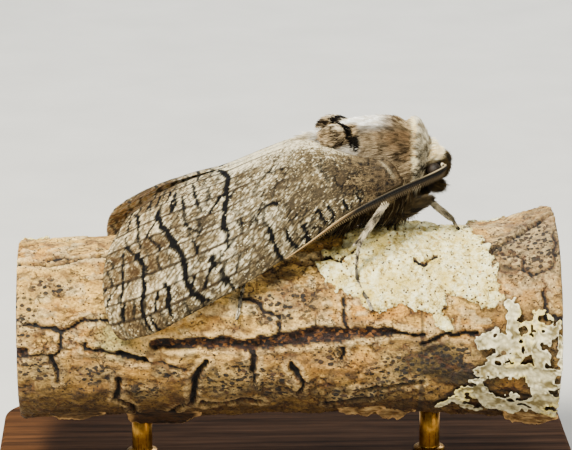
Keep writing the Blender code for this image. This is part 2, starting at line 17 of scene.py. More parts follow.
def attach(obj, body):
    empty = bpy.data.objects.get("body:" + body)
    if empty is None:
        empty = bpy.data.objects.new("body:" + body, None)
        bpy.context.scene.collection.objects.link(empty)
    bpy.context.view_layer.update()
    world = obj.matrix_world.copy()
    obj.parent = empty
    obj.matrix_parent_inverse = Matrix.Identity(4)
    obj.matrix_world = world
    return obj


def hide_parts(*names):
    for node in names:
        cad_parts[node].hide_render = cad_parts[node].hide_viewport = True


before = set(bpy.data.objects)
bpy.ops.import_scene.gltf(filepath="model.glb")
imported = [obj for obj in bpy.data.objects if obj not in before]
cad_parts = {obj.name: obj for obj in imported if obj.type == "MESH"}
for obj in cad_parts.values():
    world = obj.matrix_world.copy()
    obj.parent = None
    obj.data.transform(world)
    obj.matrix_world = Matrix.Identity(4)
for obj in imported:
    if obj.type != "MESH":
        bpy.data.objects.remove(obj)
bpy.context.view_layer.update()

MM = 0.001
TURN = 2 * math.pi
BRANCH_AXIS = 19.0
BAKE_PATCH = 0.003
DEEPENED = 1.22
ENRICHED = 1.1
FINISHES = {}


# Curves and fields


def through(points, shares):
    """Points, or plain numbers, at many shares of the way along a smooth curve through the given ones."""
    points = np.asarray(points, float)
    spans = len(points) - 1
    place = np.clip(shares, 0.0, 1.0) * spans
    i = np.minimum(place.astype(int), spans - 1)
    t = place - i if points.ndim == 1 else (place - i)[:, None]
    padded = np.concatenate([[2 * points[0] - points[1]], points, [2 * points[-1] - points[-2]]])
    before, a, b, after = (padded[i + k] for k in range(4))
    return 0.5 * (
        2 * a + (b - before) * t + (2 * before - 5 * a + 4 * b - after) * t**2
        + (3 * a - before - 3 * b + after) * t**3
    )


def step(low, high, value):
    """A smooth rise from 0 at the low value to 1 at the high one."""
    share = np.clip((np.asarray(value, float) - low) / (high - low), 0.0, 1.0)
    return share * share * (3 - 2 * share)


def band(value, rise, full, fall, end):
    """A smooth rise from 0 to 1, and a smooth fall back to 0."""
    return step(rise, full, value) * (1 - step(fall, end, value))


def bump(*terms):
    """A rounded hill from 0 to 1, each term a value, the hill's middle there and its reach."""
    return np.exp(-sum(((value - middle) / reach) ** 2 for value, middle, reach in terms))


def hashed(x, y, z, seed):
    """A steady number from 0 to 1 for each whole-number cell."""
    n = (x * 73856093) ^ (y * 19349663) ^ (z * 83492791) ^ (seed * 668265263)
    for shift, factor in ((13, 1274126177), (15, 2246822519)):
        n = ((n ^ (n >> shift)) * factor) & 0xFFFFFFFF
    return ((n ^ (n >> 16)) & 0xFFFFFF) / 0xFFFFFF


def ripple(points, seed=0):
    """Smooth noise from -1 to 1 at each point."""
    points = np.asarray(points, float)
    cell = np.floor(points).astype(np.int64)
    t = points - cell
    t = t * t * (3 - 2 * t)
    total = 0.0
    for way in itertools.product((0, 1), repeat=3):
        weight = np.prod(np.where(way, t, 1 - t), axis=-1)
        total = total + weight * hashed(*np.moveaxis(cell + way, -1, 0), seed)
    return 2 * total - 1


def layered(points, octaves=4, seed=0):
    """Noise with finer and weaker noise laid over it."""
    points = np.asarray(points, float)
    return sum(0.55 ** (k + 1) * ripple(points * 2.07**k + 7.3 * k, seed + k) for k in range(octaves))


def plates(points, seed=0):
    """The distances to the nearest and second nearest of scattered seeds, and the nearest one's number."""
    points = np.asarray(points, float)
    cell = np.floor(points).astype(np.int64)
    nearest = np.full(points.shape[:-1], 9.0)
    second, number = nearest.copy(), np.zeros_like(nearest)
    for way in itertools.product((-1, 0, 1), repeat=3):
        x, y, z = np.moveaxis(cell + way, -1, 0)
        spot = np.stack([at + hashed(x, y, z, seed + k) for at, k in ((x, 0), (y, 11), (z, 23))], -1)
        far = np.linalg.norm(points - spot, axis=-1)
        closer = far < nearest
        second = np.where(closer, nearest, np.minimum(second, far))
        number = np.where(closer, hashed(x, y, z, seed + 37), number)
        nearest = np.where(closer, far, nearest)
    return nearest, second, number


def line_distance(points, line):
    """How far each point is from a line of points, and the share of the line nearest to it."""
    line = np.asarray(line, float)
    best = np.full(points.shape[:-1], 1e9)
    share = np.zeros_like(best)
    for k in range(len(line) - 1):
        a, ab = line[k], line[k + 1] - line[k]
        t = np.clip(((points - a) @ ab) / (ab @ ab), 0, 1)
        far = np.linalg.norm(points - a - t[..., None] * ab, axis=-1)
        share = np.where(far < best, (k + t) / (len(line) - 1), share)
        best = np.minimum(far, best)
    return best, share


def table(text, leading, scale=1.0):
    """Rows of numbers from a text, each its leading numbers and then its line of points."""
    rows = [np.array(row.split(), float) for row in text.strip().splitlines()]
    return [(*row[:leading], row[leading:].reshape(-1, 2) * scale) for row in rows]


def paint(red, green, blue):
    """A colour given as 0 to 255, as the render's own light values, deepened and enriched for the soft light."""
    value = np.array((red, green, blue), float) / 255
    value = np.where(value < 0.04045, value / 12.92, ((value + 0.055) / 1.055) ** 2.4) ** DEEPENED
    return np.clip(value.mean() + (value - value.mean()) * ENRICHED, 0.0, 1.0)


def mixed(a, b, share):
    """A mix of two colours, either of them painted if it is given as a tuple."""
    a, b = (paint(*given) if isinstance(given, tuple) else given for given in (a, b))
    share = np.asarray(share, float)[..., None]
    return a * (1 - share) + b * share


def over(tone, *coats):
    """A colour with others laid over it in turn, each with its share."""
    for coat, share in coats:
        tone = mixed(tone, coat, share)
    return tone


# Meshes


def placed(name, data):
    """A new object in the scene."""
    obj = bpy.data.objects.new(name, data)
    bpy.context.scene.collection.objects.link(obj)
    return obj


def piece(name, points, faces, finish):
    """A smooth mesh object from points in millimetres. A finish is a material or the name of one."""
    mesh = bpy.data.meshes.new(name)
    faces = faces.tolist() if isinstance(faces, np.ndarray) else faces
    mesh.from_pydata((np.asarray(points, float) * MM).tolist(), [], faces)
    mesh.materials.append(FINISHES.get(finish, finish))
    mesh.shade_smooth()
    return placed(name, mesh)


def sound(obj, merged=False):
    """The object with every closed shell facing outwards, and with its doubled points merged if asked."""
    shell = bmesh.new()
    shell.from_mesh(obj.data)
    if merged:
        bmesh.ops.remove_doubles(shell, verts=shell.verts, dist=1e-6)
    bmesh.ops.recalc_face_normals(shell, faces=shell.faces)
    shell.to_mesh(obj.data)
    shell.free()
    return obj


def read(items, field, width=3):
    out = np.empty(len(items) * width, np.float32)
    items.foreach_get(field, out)
    return out.reshape(-1, width).astype(float)


def points_of(mesh):
    return read(mesh.vertices, "co") / MM


def keep(mesh, **values):
    """Stores numbers, vectors or colours at the points of a mesh, under the given names."""
    forget(mesh, *values)
    for name, value in values.items():
        value = np.asarray(value, float)
        kind, field = ("FLOAT", "value") if value.ndim == 1 else ("FLOAT_VECTOR", "vector")
        if name == "tone":
            kind, field = "FLOAT_COLOR", "color"
            value = np.hstack([value, np.ones((len(value), 1))])
        mesh.attributes.new(name, kind, "POINT").data.foreach_set(field, value.astype(np.float32).ravel())


def kept(mesh, name):
    attribute = mesh.attributes[name]
    if attribute.data_type == "FLOAT":
        return read(attribute.data, "value", 1)[:, 0]
    return read(attribute.data, "vector")


def forget(mesh, *names):
    for name in names:
        if name in mesh.attributes:
            mesh.attributes.remove(mesh.attributes[name])


def grid(rows, columns):
    """The shares from 0 to 1 down and across a grid of points."""
    down, across = np.meshgrid(np.linspace(0, 1, rows), np.linspace(0, 1, columns), indexing="ij")
    return down.ravel(), across.ravel()


def grid_faces(rows, columns, around=False, start=0, turned=False):
    """Quads of a grid of points, closed round its columns if asked."""
    i, j = np.meshgrid(np.arange(rows - 1), np.arange(columns if around else columns - 1), indexing="ij")
    a, b = i * columns + j, i * columns + (j + 1) % columns
    quads = np.stack([a, b, b + columns, a + columns], -1).reshape(-1, 4) + start
    return quads[:, ::-1] if turned else quads


def turns(count):
    return TURN * np.arange(count) / count


def ring_shape(rings, turned=False):
    """Points and faces of a closed skin through rings, with a middle point at each end."""
    rings = np.asarray(rings, float)
    count, sides = rings.shape[:2]
    points = np.vstack([rings.reshape(-1, 3), rings[0].mean(0), rings[-1].mean(0)])
    faces = grid_faces(count, sides, around=True, turned=turned).tolist()
    first, end = count * sides, (count - 1) * sides
    for k in range(sides):
        m = (k + 1) % sides
        a, b = (k, m) if turned else (m, k)
        faces += [(first, a, b), (first + 1, end + b, end + a)]
    return points, faces


def tube(path, girths, sides):
    """Points and faces of a closed round tube whose girth changes along its path."""
    path, girths = np.asarray(path, float), np.asarray(girths, float)[:, None, None]
    along = np.gradient(path, axis=0)
    along /= np.linalg.norm(along, axis=1)[:, None]
    side = np.cross(along, (0.0, 0.0, 1.0))
    side[np.linalg.norm(side, axis=1) < 0.05] = (0.0, 1.0, 0.0)
    side /= np.linalg.norm(side, axis=1)[:, None]
    up = np.cross(side, along)
    turn = turns(sides)[:, None]
    rings = path[:, None] + side[:, None] * (girths * np.cos(turn)) + up[:, None] * (girths * np.sin(turn))
    points, faces = ring_shape(rings, turned=True)
    points[-2:] = path[0], path[-1]
    return points, faces


def gathered(shapes):
    """Several lots of points and faces as one."""
    points, faces, start = [], [], 0
    for some, more in shapes:
        points.append(np.asarray(some, float))
        faces += [tuple(int(v) + start for v in face) for face in more]
        start += len(some)
    return np.vstack(points), faces


# Node trees


class Wire:
    """A node's output. Sums and products of wires make the nodes that work them out."""

    def __init__(self, socket):
        self.socket = socket

    def worked(self, operation, a, b):
        net = Net(self.socket.id_data)
        if self.socket.type != "VECTOR":
            return net.node("ShaderNodeMath", {0: a, 1: b}, operation=operation)
        second, operation = ("Scale", "SCALE") if operation == "MULTIPLY" else (1, operation)
        return net.node("ShaderNodeVectorMath", {0: a, second: b}, operation=operation)

    def __add__(self, other):
        return self.worked("ADD", self, other)

    def __sub__(self, other):
        return self.worked("SUBTRACT", self, other)

    def __rsub__(self, other):
        return self.worked("SUBTRACT", other, self)

    def __mul__(self, other):
        return self.worked("MULTIPLY", self, other)


class Net:
    """A node tree, and short calls for the nodes that it is given."""

    def __init__(self, tree):
        self.tree = tree

    def node(self, kind, inputs=(), out=0, **settings):
        """A new node's output, with the node's settings, and its inputs set or joined to wires."""
        node = self.tree.nodes.new(kind)
        for key, value in settings.items():
            setattr(node, key, value)
        for key, value in dict(inputs).items():
            self.set(node.inputs[key], value)
        return Wire(node.outputs[out])

    def set(self, socket, value):
        if isinstance(value, Wire):
            self.tree.links.new(value.socket, socket)
        else:
            socket.default_value = value

    def place(self, *stretch):
        """Object coordinates in millimetres, stretched for grain."""
        return self.node("ShaderNodeMapping", {
            "Vector": self.node("ShaderNodeTexCoord", out="Object"),
            "Scale": [s / MM for s in stretch or (1.0, 1.0, 1.0)],
        })

    def noise(self, place, scale, detail=3.0, rough=0.6, out="Fac"):
        return self.node("ShaderNodeTexNoise", {
            "Vector": place, "Scale": scale, "Detail": detail, "Roughness": rough}, out)

    def bent(self, base, place, scale, detail, by):
        """Coordinates shaken by a noise."""
        colour = self.noise(place, scale, detail, 0.5, "Color")
        return base + self.node("ShaderNodeVectorMath", {0: colour, "Scale": by}, operation="SCALE")

    def cells(self, place, scale, out="Distance", **settings):
        return self.node("ShaderNodeTexVoronoi", {"Vector": place, "Scale": scale}, out, **settings)

    def mark(self, name, out="Fac"):
        return self.node("ShaderNodeAttribute", out=out, attribute_name=name)

    def ramp(self, share, *stops):
        """A smooth change of colour or grey over a share from 0 to 1."""
        colours = self.node("ShaderNodeValToRGB", {"Fac": share})
        elements = colours.socket.node.color_ramp.elements
        while len(elements) < len(stops):
            elements.new(0.5)
        for element, (place, value) in zip(elements, stops):
            element.position = place
            element.color = (*(paint(*value) if isinstance(value, tuple) else (value,) * 3), 1.0)
        return colours

    def tint(self, colour, by, strength=1.0, blend="MULTIPLY"):
        by = (*paint(*by), 1.0) if isinstance(by, tuple) else by
        return self.node("ShaderNodeMix", {"Factor": strength, 6: colour, 7: by}, 2,
                         data_type="RGBA", blend_type=blend)

    def over(self, colour, *coats):
        """A colour with others laid over it in turn, each with its share."""
        for coat, share in coats:
            colour = self.tint(colour, coat, share, "MIX")
        return colour


def new_tree(name, **wanted):
    """An empty tree with a geometry input and output, its wanted named inputs, and its end."""
    tree = bpy.data.node_groups.new(name, "GeometryNodeTree")
    tree.interface.new_socket("Geometry", in_out="OUTPUT", socket_type="NodeSocketGeometry")
    for label, kind in {"Geometry": "Geometry", **wanted}.items():
        tree.interface.new_socket(label, in_out="INPUT", socket_type="NodeSocket" + kind)
    given = tree.nodes.new("NodeGroupInput").outputs
    return Net(tree), {label: Wire(given[label]) for label in ("Geometry", *wanted)}


def stood(net, given, points, shape, turned, scale, lift):
    """Ends a tree: a shape on every point, laid along X and lifted to Z, joined and given its finish."""
    turned = net.node("FunctionNodeAlignRotationToVector", {"Vector": turned}, axis="X")
    turned = net.node("FunctionNodeAlignRotationToVector", {"Rotation": turned, "Vector": lift},
                      axis="Z", pivot_axis="X")
    copies = net.node("GeometryNodeInstanceOnPoints", {
        "Points": points, "Instance": net.node("GeometryNodeObjectInfo", {"Object": given[shape]}, "Geometry"),
        "Rotation": turned, "Scale": scale,
    })
    joined = net.node("GeometryNodeRealizeInstances", {"Geometry": copies})
    finished = net.node("GeometryNodeSetMaterial", {"Geometry": joined, "Material": given["Finish"]})
    net.set(net.tree.nodes.new("NodeGroupOutput").inputs["Geometry"], finished)
    return net.tree


def noted(net, points, name, value, kind="FLOAT"):
    return net.node("GeometryNodeStoreNamedAttribute", {"Geometry": points, "Name": name, "Value": value},
                    data_type=kind, domain="POINT")


def growth_tree():
    """Stands a shape on a skin many times over, along the skin's lie, and joins the copies."""
    net, given = new_tree(
        "growth", Shape="Object", Spacing="Float", Crowding="Float", Length="Float", Width="Float",
        Unevenness="Float", Lift="Float", Disorder="Float", Seed="Int", Finish="Material")
    growth, reach, lie = (
        net.node("GeometryNodeInputNamedAttribute", {"Name": name}, "Attribute", data_type=kind)
        for name, kind in (("growth", "FLOAT"), ("reach", "FLOAT"), ("lie", "FLOAT_VECTOR")))
    seed, uneven = given["Seed"], given["Unevenness"]
    points = net.node("GeometryNodeDistributePointsOnFaces", {
        "Mesh": given["Geometry"], "Distance Min": given["Spacing"], "Density Max": given["Crowding"],
        "Density Factor": growth, "Seed": seed,
    }, "Points", distribute_method="POISSON")
    normal = Wire(points.socket.node.outputs["Normal"])
    pick = net.node("FunctionNodeRandomValue", {"Seed": seed}, 1, data_type="FLOAT")
    points = noted(net, points, "pick", pick)
    points = noted(net, points, "root", net.node("GeometryNodeInputPosition"), "FLOAT_VECTOR")
    stray = net.node("FunctionNodeRandomValue", {0: (-1.0,) * 3, 1: (1.0,) * 3, "Seed": seed + 1.0},
                     data_type="FLOAT_VECTOR")
    forward = lie + normal * given["Lift"] + stray * given["Disorder"]
    spread = net.node("FunctionNodeRandomValue", {2: 1.0 - uneven, 3: uneven + 1.0, "Seed": seed + 2.0}, 1,
                      data_type="FLOAT")
    wide = given["Width"] * spread
    size = net.node("ShaderNodeCombineXYZ", {"X": given["Length"] * reach * spread, "Y": wide, "Z": wide})
    return stood(net, given, points, "Shape", forward, size, normal)


def comb_tree():
    """Stands a comb plate at even steps along a curve, smaller towards its two ends."""
    net, given = new_tree("combs", Plate="Object", Count="Int", Size="Float", Finish="Material")
    spots = net.node("GeometryNodeResampleCurve", {"Curve": given["Geometry"], "Count": given["Count"]})
    share = net.node("GeometryNodeSplineParameter", out="Factor")
    rise, fall = (net.node("ShaderNodeMath", {0: slope, 1: 1.0}, operation="MINIMUM")
                  for slope in (share * 9.0, (1.04 - share) * 1.75))
    return stood(net, given, noted(net, spots, "along", share), "Plate", net.node("GeometryNodeInputTangent"),
                 rise * fall * given["Size"], (0.0, 0.0, 1.0))


def grown_mesh(obj, tree, settings):
    """The mesh that a tree makes of an object, with the tree's named inputs set."""
    modifier = obj.modifiers.new("growth", "NODES")
    modifier.node_group = tree
    for item in tree.interface.items_tree:
        if item.item_type == "SOCKET" and item.in_out == "INPUT" and item.name in settings:
            modifier[item.identifier] = settings[item.name]
    mesh = made_mesh(obj)
    obj.modifiers.remove(modifier)
    return mesh


def made_mesh(obj):
    """The mesh of an object as its modifiers leave it."""
    graph = bpy.context.evaluated_depsgraph_get()
    return bpy.data.meshes.new_from_object(obj.evaluated_get(graph))


def unit_shape(name, points, faces):
    """A small shape with its root at the origin and its tip one unit along X, kept out of the render."""
    shape = piece(name, np.asarray(points, float) / MM, faces, bpy.data.materials[0])
    shape.data.shade_flat()
    shape.hide_render = True
    return shape


def make_shapes():
    """The shapes that are repeated: a wing scale, a short hair, a long bent hair and a pair of comb plates."""
    root = [(0, -0.5, -0.2), (0, 0.5, -0.2), (0, 0, 0.6)]
    middle = [(0.5, y * 0.75, 0.6 + z * 0.75) for _, y, z in root]
    spots = np.linspace(0, 1, 4)
    combs = gathered(tube(np.stack([
        0.06 * spots, way * (0.08 + 0.4 * spots), -0.04 - 0.78 * spots**1.2,
    ], -1), (0.1, 0.1, 0.08, 0.03), 5) for way in (1, -1))
    return {
        "scale": unit_shape(
            "one_scale", ((0, 0, 0), (1, 0.46, 0), (0.86, -0.5, 0), (0.8, 0.04, 0.3)),
            ((3, 0, 2), (3, 2, 1), (3, 1, 0), (0, 1, 2))),
        "hair": unit_shape("one_hair", (*root, (1, 0, 0)), ((0, 2, 1), (0, 1, 3), (1, 2, 3), (2, 0, 3))),
        "long_hair": unit_shape(
            "one_long_hair", (*root, *middle, (1, 0, 0.2)),
            ((0, 2, 1), (0, 1, 4, 3), (1, 2, 5, 4), (2, 0, 3, 5), (3, 4, 6), (4, 5, 6), (5, 3, 6))),
        "comb": sound(unit_shape("one_comb", *combs)),
    }


SIZE_NAMES = ("Spacing", "Length", "Width", "Unevenness", "Lift", "Disorder", "Seed")
MARKS = ("growth", "reach", "lie", "along", "across", "region", "root", "pick")


def grow(name, skin, shape, finish, colour, unwrap, sizes):
    """A coat grown on a skin, coloured at each root, with a small patch of the bake map for each tuft."""
    shape = SHAPES[shape]
    settings = {"Shape": shape, "Finish": FINISHES[finish], **dict(zip(SIZE_NAMES, sizes))}
    for key in SIZE_NAMES[:3]:
        settings[key] *= MM
    settings["Crowding"] = 2.0 / settings["Spacing"] ** 2
    mesh = grown_mesh(skin, TREES["growth"], settings)
    mesh.name = name

    def mark(key):
        return kept(mesh, key)

    roots = mark("root") / MM
    keep(mesh, tone=colour(roots, mark("pick"), mark))
    own = points_of(shape.data)[:, :2] * MM
    offset = np.tile(own - (0.5, 0.0), (len(roots) // len(own), 1)) * BAKE_PATCH
    corners = np.empty(len(mesh.loops), np.int32)
    mesh.loops.foreach_get("vertex_index", corners)
    spots = (unwrap(roots, mark) + offset)[corners]
    mesh.uv_layers.new(name="OFBake").uv.foreach_set("vector", spots.astype(np.float32).ravel())
    return placed(name, mesh)


# Finishes


def new_finish(name, roughness, specular=0.5, metallic=0.0):
    """A node finish and its net, with the steady values set on the shader's own sockets."""
    finish = bpy.data.materials.new(name)
    finish.use_nodes = True
    net = Net(finish.node_tree)
    shader = finish.node_tree.nodes["Principled BSDF"].inputs
    shader["Roughness"].default_value = roughness
    shader["Specular IOR Level"].default_value = specular
    shader["Metallic"].default_value = metallic

    def done(colour, rough=None, height=None, strength=0.6, depth=0.02):
        """Joins the colour, the roughness and a relief in millimetres to the shader."""
        net.set(shader["Base Color"], colour)
        if rough:
            net.set(shader["Roughness"], rough)
        if height:
            net.set(shader["Normal"], net.node("ShaderNodeBump", {
                "Height": height, "Strength": strength, "Distance": depth * MM}))
        return finish

    return net, done


def toned_finish(name, roughness, grain, depth, spread=0.35, specular=0.5):
    """The piece's own tones, made uneven at the grain's scale and given a fine relief."""
    net, done = new_finish(name, roughness, specular)
    place = net.place()
    fine = net.noise(place, grain)
    tone = net.tint(net.mark("tone", "Color"), net.ramp(fine, (0.28, 1 - spread), (0.72, 1 + spread)))
    gloss = net.ramp(fine, (0.3, roughness - 0.1), (0.7, min(roughness + 0.1, 1.0)))
    return done(tone, gloss, net.noise(place, grain * 1.6), 0.6, depth)


def eye_finish():
    """The compound eye: dark facets with a dull bloom."""
    net, done = new_finish("compound_eye", 0.55, 0.3)
    place = net.place()
    facet, patch = net.cells(place, 11.0), net.noise(place, 1.3)
    base = net.ramp(patch, (0.35, (34, 27, 22)), (0.65, (76, 64, 52)))
    return done(net.tint(base, net.ramp(facet, (0.25, 1.0), (0.6, 0.55))), net.ramp(patch, (0.3, 0.48), (0.7, 0.62)),
                net.ramp(facet, (0.0, 1.0), (0.6, 0.0)), 0.5, 0.05)


def sawn_finish():
    """A sawn end: growth rings, a darker heart and saw marks."""
    net, done = new_finish("sawn_end", 0.85)
    place = net.place()
    flat = net.node("ShaderNodeMapping", {
        "Vector": place, "Location": (0.0, -1.4, -(BRANCH_AXIS + 0.8)), "Scale": (0.0, 1.0, 1.0)})
    rings = net.node("ShaderNodeTexWave", {
        "Vector": net.bent(flat, flat, 0.22, 2.0, 1.6), "Scale": 0.42, "Distortion": 0.6, "Detail": 2.0,
    }, "Fac", wave_type="RINGS", rings_direction="X", wave_profile="SAW")
    base = net.ramp(rings, (0.0, (196, 160, 112)), (0.75, (176, 136, 88)), (1.0, (128, 88, 50)))
    heart = net.node("ShaderNodeVectorMath", {0: flat}, "Value", operation="LENGTH")
    dark = net.ramp(net.node("ShaderNodeMath", {0: heart, 1: 12.0}, operation="DIVIDE"), (0.0, (118, 78, 48)),
                    (0.3, (225, 205, 180)), (0.86, (235, 220, 198)), (0.93, (84, 52, 30)))
    fine = net.noise(place, 3.0)
    saw = net.node("ShaderNodeTexWave", {"Vector": place, "Scale": 0.9, "Distortion": 2.5}, "Fac",
                   bands_direction="Z")
    colour = net.tint(net.tint(base, dark, 0.8), net.ramp(fine, (0.3, 0.72), (0.7, 1.05)))
    return done(colour, None, saw + fine, 0.35, 0.08)


def wood_finish():
    """The stand's dark oiled wood, its grain along X."""
    net, done = new_finish("stand_wood_dark", 0.8, 0.08)
    grain = net.noise(net.place(0.05, 1.0, 1.0), 0.9, 6.0, 0.65)
    pores = net.noise(net.place(0.12, 2.6, 2.6), 2.2)
    base = net.ramp(grain, (0.3, (50, 34, 20)), (0.5, (84, 58, 35)), (0.7, (108, 76, 48)))
    return done(net.tint(base, net.ramp(pores, (0.34, 0.5), (0.44, 1.0)), 0.8),
                net.ramp(grain, (0.3, 0.9), (0.7, 0.76)), pores, 0.25, 0.06)


def brass_finish():
    """Lightly brushed brass, a little dulled in patches."""
    net, done = new_finish("brushed_brass", 0.28, metallic=1.0)
    brushed = net.noise(net.place(1.0, 1.0, 0.06), 5.0, 2.0)
    base = net.ramp(net.noise(net.place(), 0.7), (0.35, (150, 112, 60)), (0.65, (206, 166, 96)))
    return done(base, net.ramp(brushed, (0.3, 0.22), (0.7, 0.42)), brushed, 0.2, 0.02)


def floor_finish():
    net, done = new_finish("pale_floor", 0.9)
    return done(net.ramp(net.noise(net.place(), 0.05), (0.3, (208, 206, 200)), (0.7, (216, 214, 208))))


def bark_finish():
    """Bark over its own tones, with pores and hair cracks, under a pale pitted crust where lichen covers it."""
    net, done = new_finish("bark_and_crust", 0.88)
    place = net.place()
    fine, grit = net.noise(place, 2.6, 5.0, 0.65), net.noise(net.place(0.6, 1.0, 1.0), 5.5)
    bark = net.tint(net.mark("tone", "Color"), net.ramp(fine, (0.3, 0.5), (0.7, 1.3)))
    bark = net.tint(bark, net.ramp(grit, (0.3, 0.6), (0.62, 1.18)))
    bent = net.bent(net.place(0.45, 1.0, 1.0), place, 1.1, 3.0, 1.3)
    crackle = net.cells(bent, 0.62, feature="DISTANCE_TO_EDGE")
    hairline = net.ramp(crackle, (0.0, 1.0), (0.05, 0.0)) * net.ramp(net.noise(place, 0.42), (0.44, 0.0), (0.58, 0.85))
    pores = net.ramp(net.cells(place, 2.1), (0.18, 1.0), (0.28, 0.0)) * net.ramp(
        net.noise(place, 0.6), (0.38, 0.0), (0.5, 1.0))
    pimple = net.cells(net.place(0.8, 1.1, 1.1), 1.8)
    ragged = pimple + (0.62 - net.noise(place, 1.1)) * 0.9
    pimples = net.ramp(ragged, (0.5, 1.0), (0.58, 0.0)) * net.mark("dotted")
    kind = net.ramp(Wire(pimple.socket.node.outputs["Color"]),
                    (0.2, (18, 14, 10)), (0.62, (46, 38, 30)), (0.9, (84, 58, 36)))
    crumbs = net.ramp(net.cells(net.place(0.7, 1.0, 1.0), 3.6, "Color"),
                      (0.3, (16, 9, 4)), (0.56, (64, 37, 17)), (0.86, (158, 112, 64)))
    crumbly = net.mark("furrow") * net.ramp(net.noise(place, 1.3), (0.42, 0.2), (0.6, 0.85))
    bark = net.over(bark, ((58, 34, 16), hairline), ((44, 30, 20), pores), (kind, pimples * 0.95), (crumbs, crumbly))
    grain = net.noise(place, 1.4, 6.0, 0.7)
    crust = net.ramp(grain, (0.34, (146, 122, 66)), (0.46, (228, 212, 148)), (0.58, (255, 250, 210)))
    yellow = net.ramp(net.noise(place, 0.35), (0.5, 0.0), (0.66, 1.0))
    pit = net.ramp(net.cells(place, 1.8), (0.17, 1.0), (0.24, 0.0))
    gap = net.ramp(net.cells(place, 0.9, feature="DISTANCE_TO_EDGE"), (0.0, 1.0), (0.05, 0.0)) * net.ramp(
        net.noise(place, 0.5), (0.56, 0.0), (0.66, 1.0))
    disc = net.ramp(net.cells(place, 0.5), (0.09, 1.0), (0.15, 0.0))
    crust = net.over(crust, ((214, 190, 96), yellow * 0.7), ((84, 56, 34), pit), ((134, 104, 54), gap * 0.8),
                     ((196, 148, 40), disc * 0.8))
    edge = net.ramp(net.mark("cover") + (grain - 0.5) * 0.7, (0.47, 0.0), (0.53, 1.0))
    height = fine + grit * 0.6 + edge * 0.8 - pit * 0.5 + pimples * 0.5 - gap * 0.5 - hairline * 0.9
    return done(net.over(bark, (crust, edge)), net.ramp(fine, (0.3, 0.95), (0.7, 0.78)), height, 0.85, 0.24)


# Wings

# The inner margin of the right forewing from its root to the tornus, then its front margin from root
# to apex, as x, y and rise.
WING_RIDGE = (
    (11.4, -5.3, 20.8), (7.7, -5.0, 21.3), (4.6, -2.7, 21.8), (1.9, -0.4, 22.15), (-1.8, -0.22, 20.95),
    (-6.5, -0.25, 19.0), (-11.1, -0.9, 17.55), (-14.8, -1.5, 16.1), (-18.1, -2.1, 14.0),
)
WING_COSTA = (
    (13.2, -5.6, 18.3), (9.9, -6.8, 16.6), (6.2, -7.7, 14.55), (0.4, -9.2, 11.1),
    (-5.3, -10.5, 7.8), (-11.1, -11.5, 4.8), (-15.2, -12.1, 2.8), (-18.6, -12.4, 2.0),
)
WING_ROUNDNESS = 0.85
TERMEN_BULGE = 2.65
WING_LENGTH, WING_WIDTH = 34.0, 17.5
FORE_VEINS = (0.09, 0.21, 0.33, 0.45, 0.57, 0.68, 0.79, 0.9)
HINDWING_LENGTH, HINDWING_WIDTH = 19.0, 11.0
HIND_VEINS = (0.15, 0.34, 0.53, 0.72, 0.88)

# Dark strokes over the forewing: a width in millimetres and a strength, then u and v along the stroke
# in thousandths.
BOLD_STROKES = table("""
0.5 1  655 30 640 80 622 180 622 300 617 420 622 530 612 650 608 720
0.56 1  845 270 815 400 790 470 755 570 733 650 720 770 712 860
0.46 0.95  708 880 690 920 660 980
0.34 1  955 130 915 270 900 380 880 500
0.42 1  885 530 863 640 860 750 868 840 870 920 860 985
0.24 0.9  940 480 932 600 932 690 940 780
0.22 0.85  950 800 958 900
0.24 0.85  945 370 915 490
0.34 0.9  792 120 782 220 782 310
0.26 0.9  888 120 880 220
0.24 0.8  848 40 832 180 830 280
0.26 0.85  732 90 722 220 710 290 700 350 680 410
0.32 0.8  752 280 740 380 720 500 712 550
0.22 0.7  680 290 670 390
0.24 0.75  690 460 680 540
0.38 0.9  652 730 640 810
0.22 0.75  630 720 628 800
0.28 0.75  812 600 800 690
0.2 0.6  840 450 820 540
0.5 0.85  622 840 610 940
0.36 0.9  790 770 770 860 780 900 770 970
0.36 0.95  212 800 200 910
0.4 0.95  272 810 260 940
0.32 0.95  322 800 310 880 312 960
0.34 0.95  352 800 342 880 330 960
0.36 0.95  392 840 390 930 380 980
0.36 0.95  442 820 430 930 412 990
0.42 0.95  492 730 480 850 470 940 455 990
0.26 0.8  512 540 510 660 494 740
0.2 0.55  462 620 450 750 432 880
0.55 0.7  330 410 312 520 305 600
0.4 0.6  252 360 258 460
0.18 0.45  440 430 432 580
0.18 0.45  540 380 538 500
0.22 0.6  260 750 150 610 80 510
""", 2, 0.001)

PALE_SCALE, MIDDLE_SCALE = paint(240, 231, 206), paint(142, 128, 102)
BROWN_SCALE, BLACK_SCALE, GREY_SCALE = paint(84, 68, 48), paint(10, 7, 5), paint(82, 75, 62)


def wing_middle(u, v):
    """The middle of the right forewing, u from root to outer margin, v from inner to front margin."""
    ridge, costa = through(WING_RIDGE, u), through(WING_COSTA, u)
    quarter = v * math.pi / 2
    out, down = ((1 - WING_ROUNDNESS) * v + WING_ROUNDNESS * bow for bow in (np.sin(quarter), 1 - np.cos(quarter)))
    points = ridge + (costa - ridge) * np.stack([v, out, down], -1) + (0, 0, BRANCH_AXIS)
    arch = np.maximum(np.sin(math.pi * np.clip(v, 0, 1) ** 1.5), 1e-9) ** (1 - 0.5 * v)
    points[:, 0] -= TERMEN_BULGE * u**4 * arch
    return points


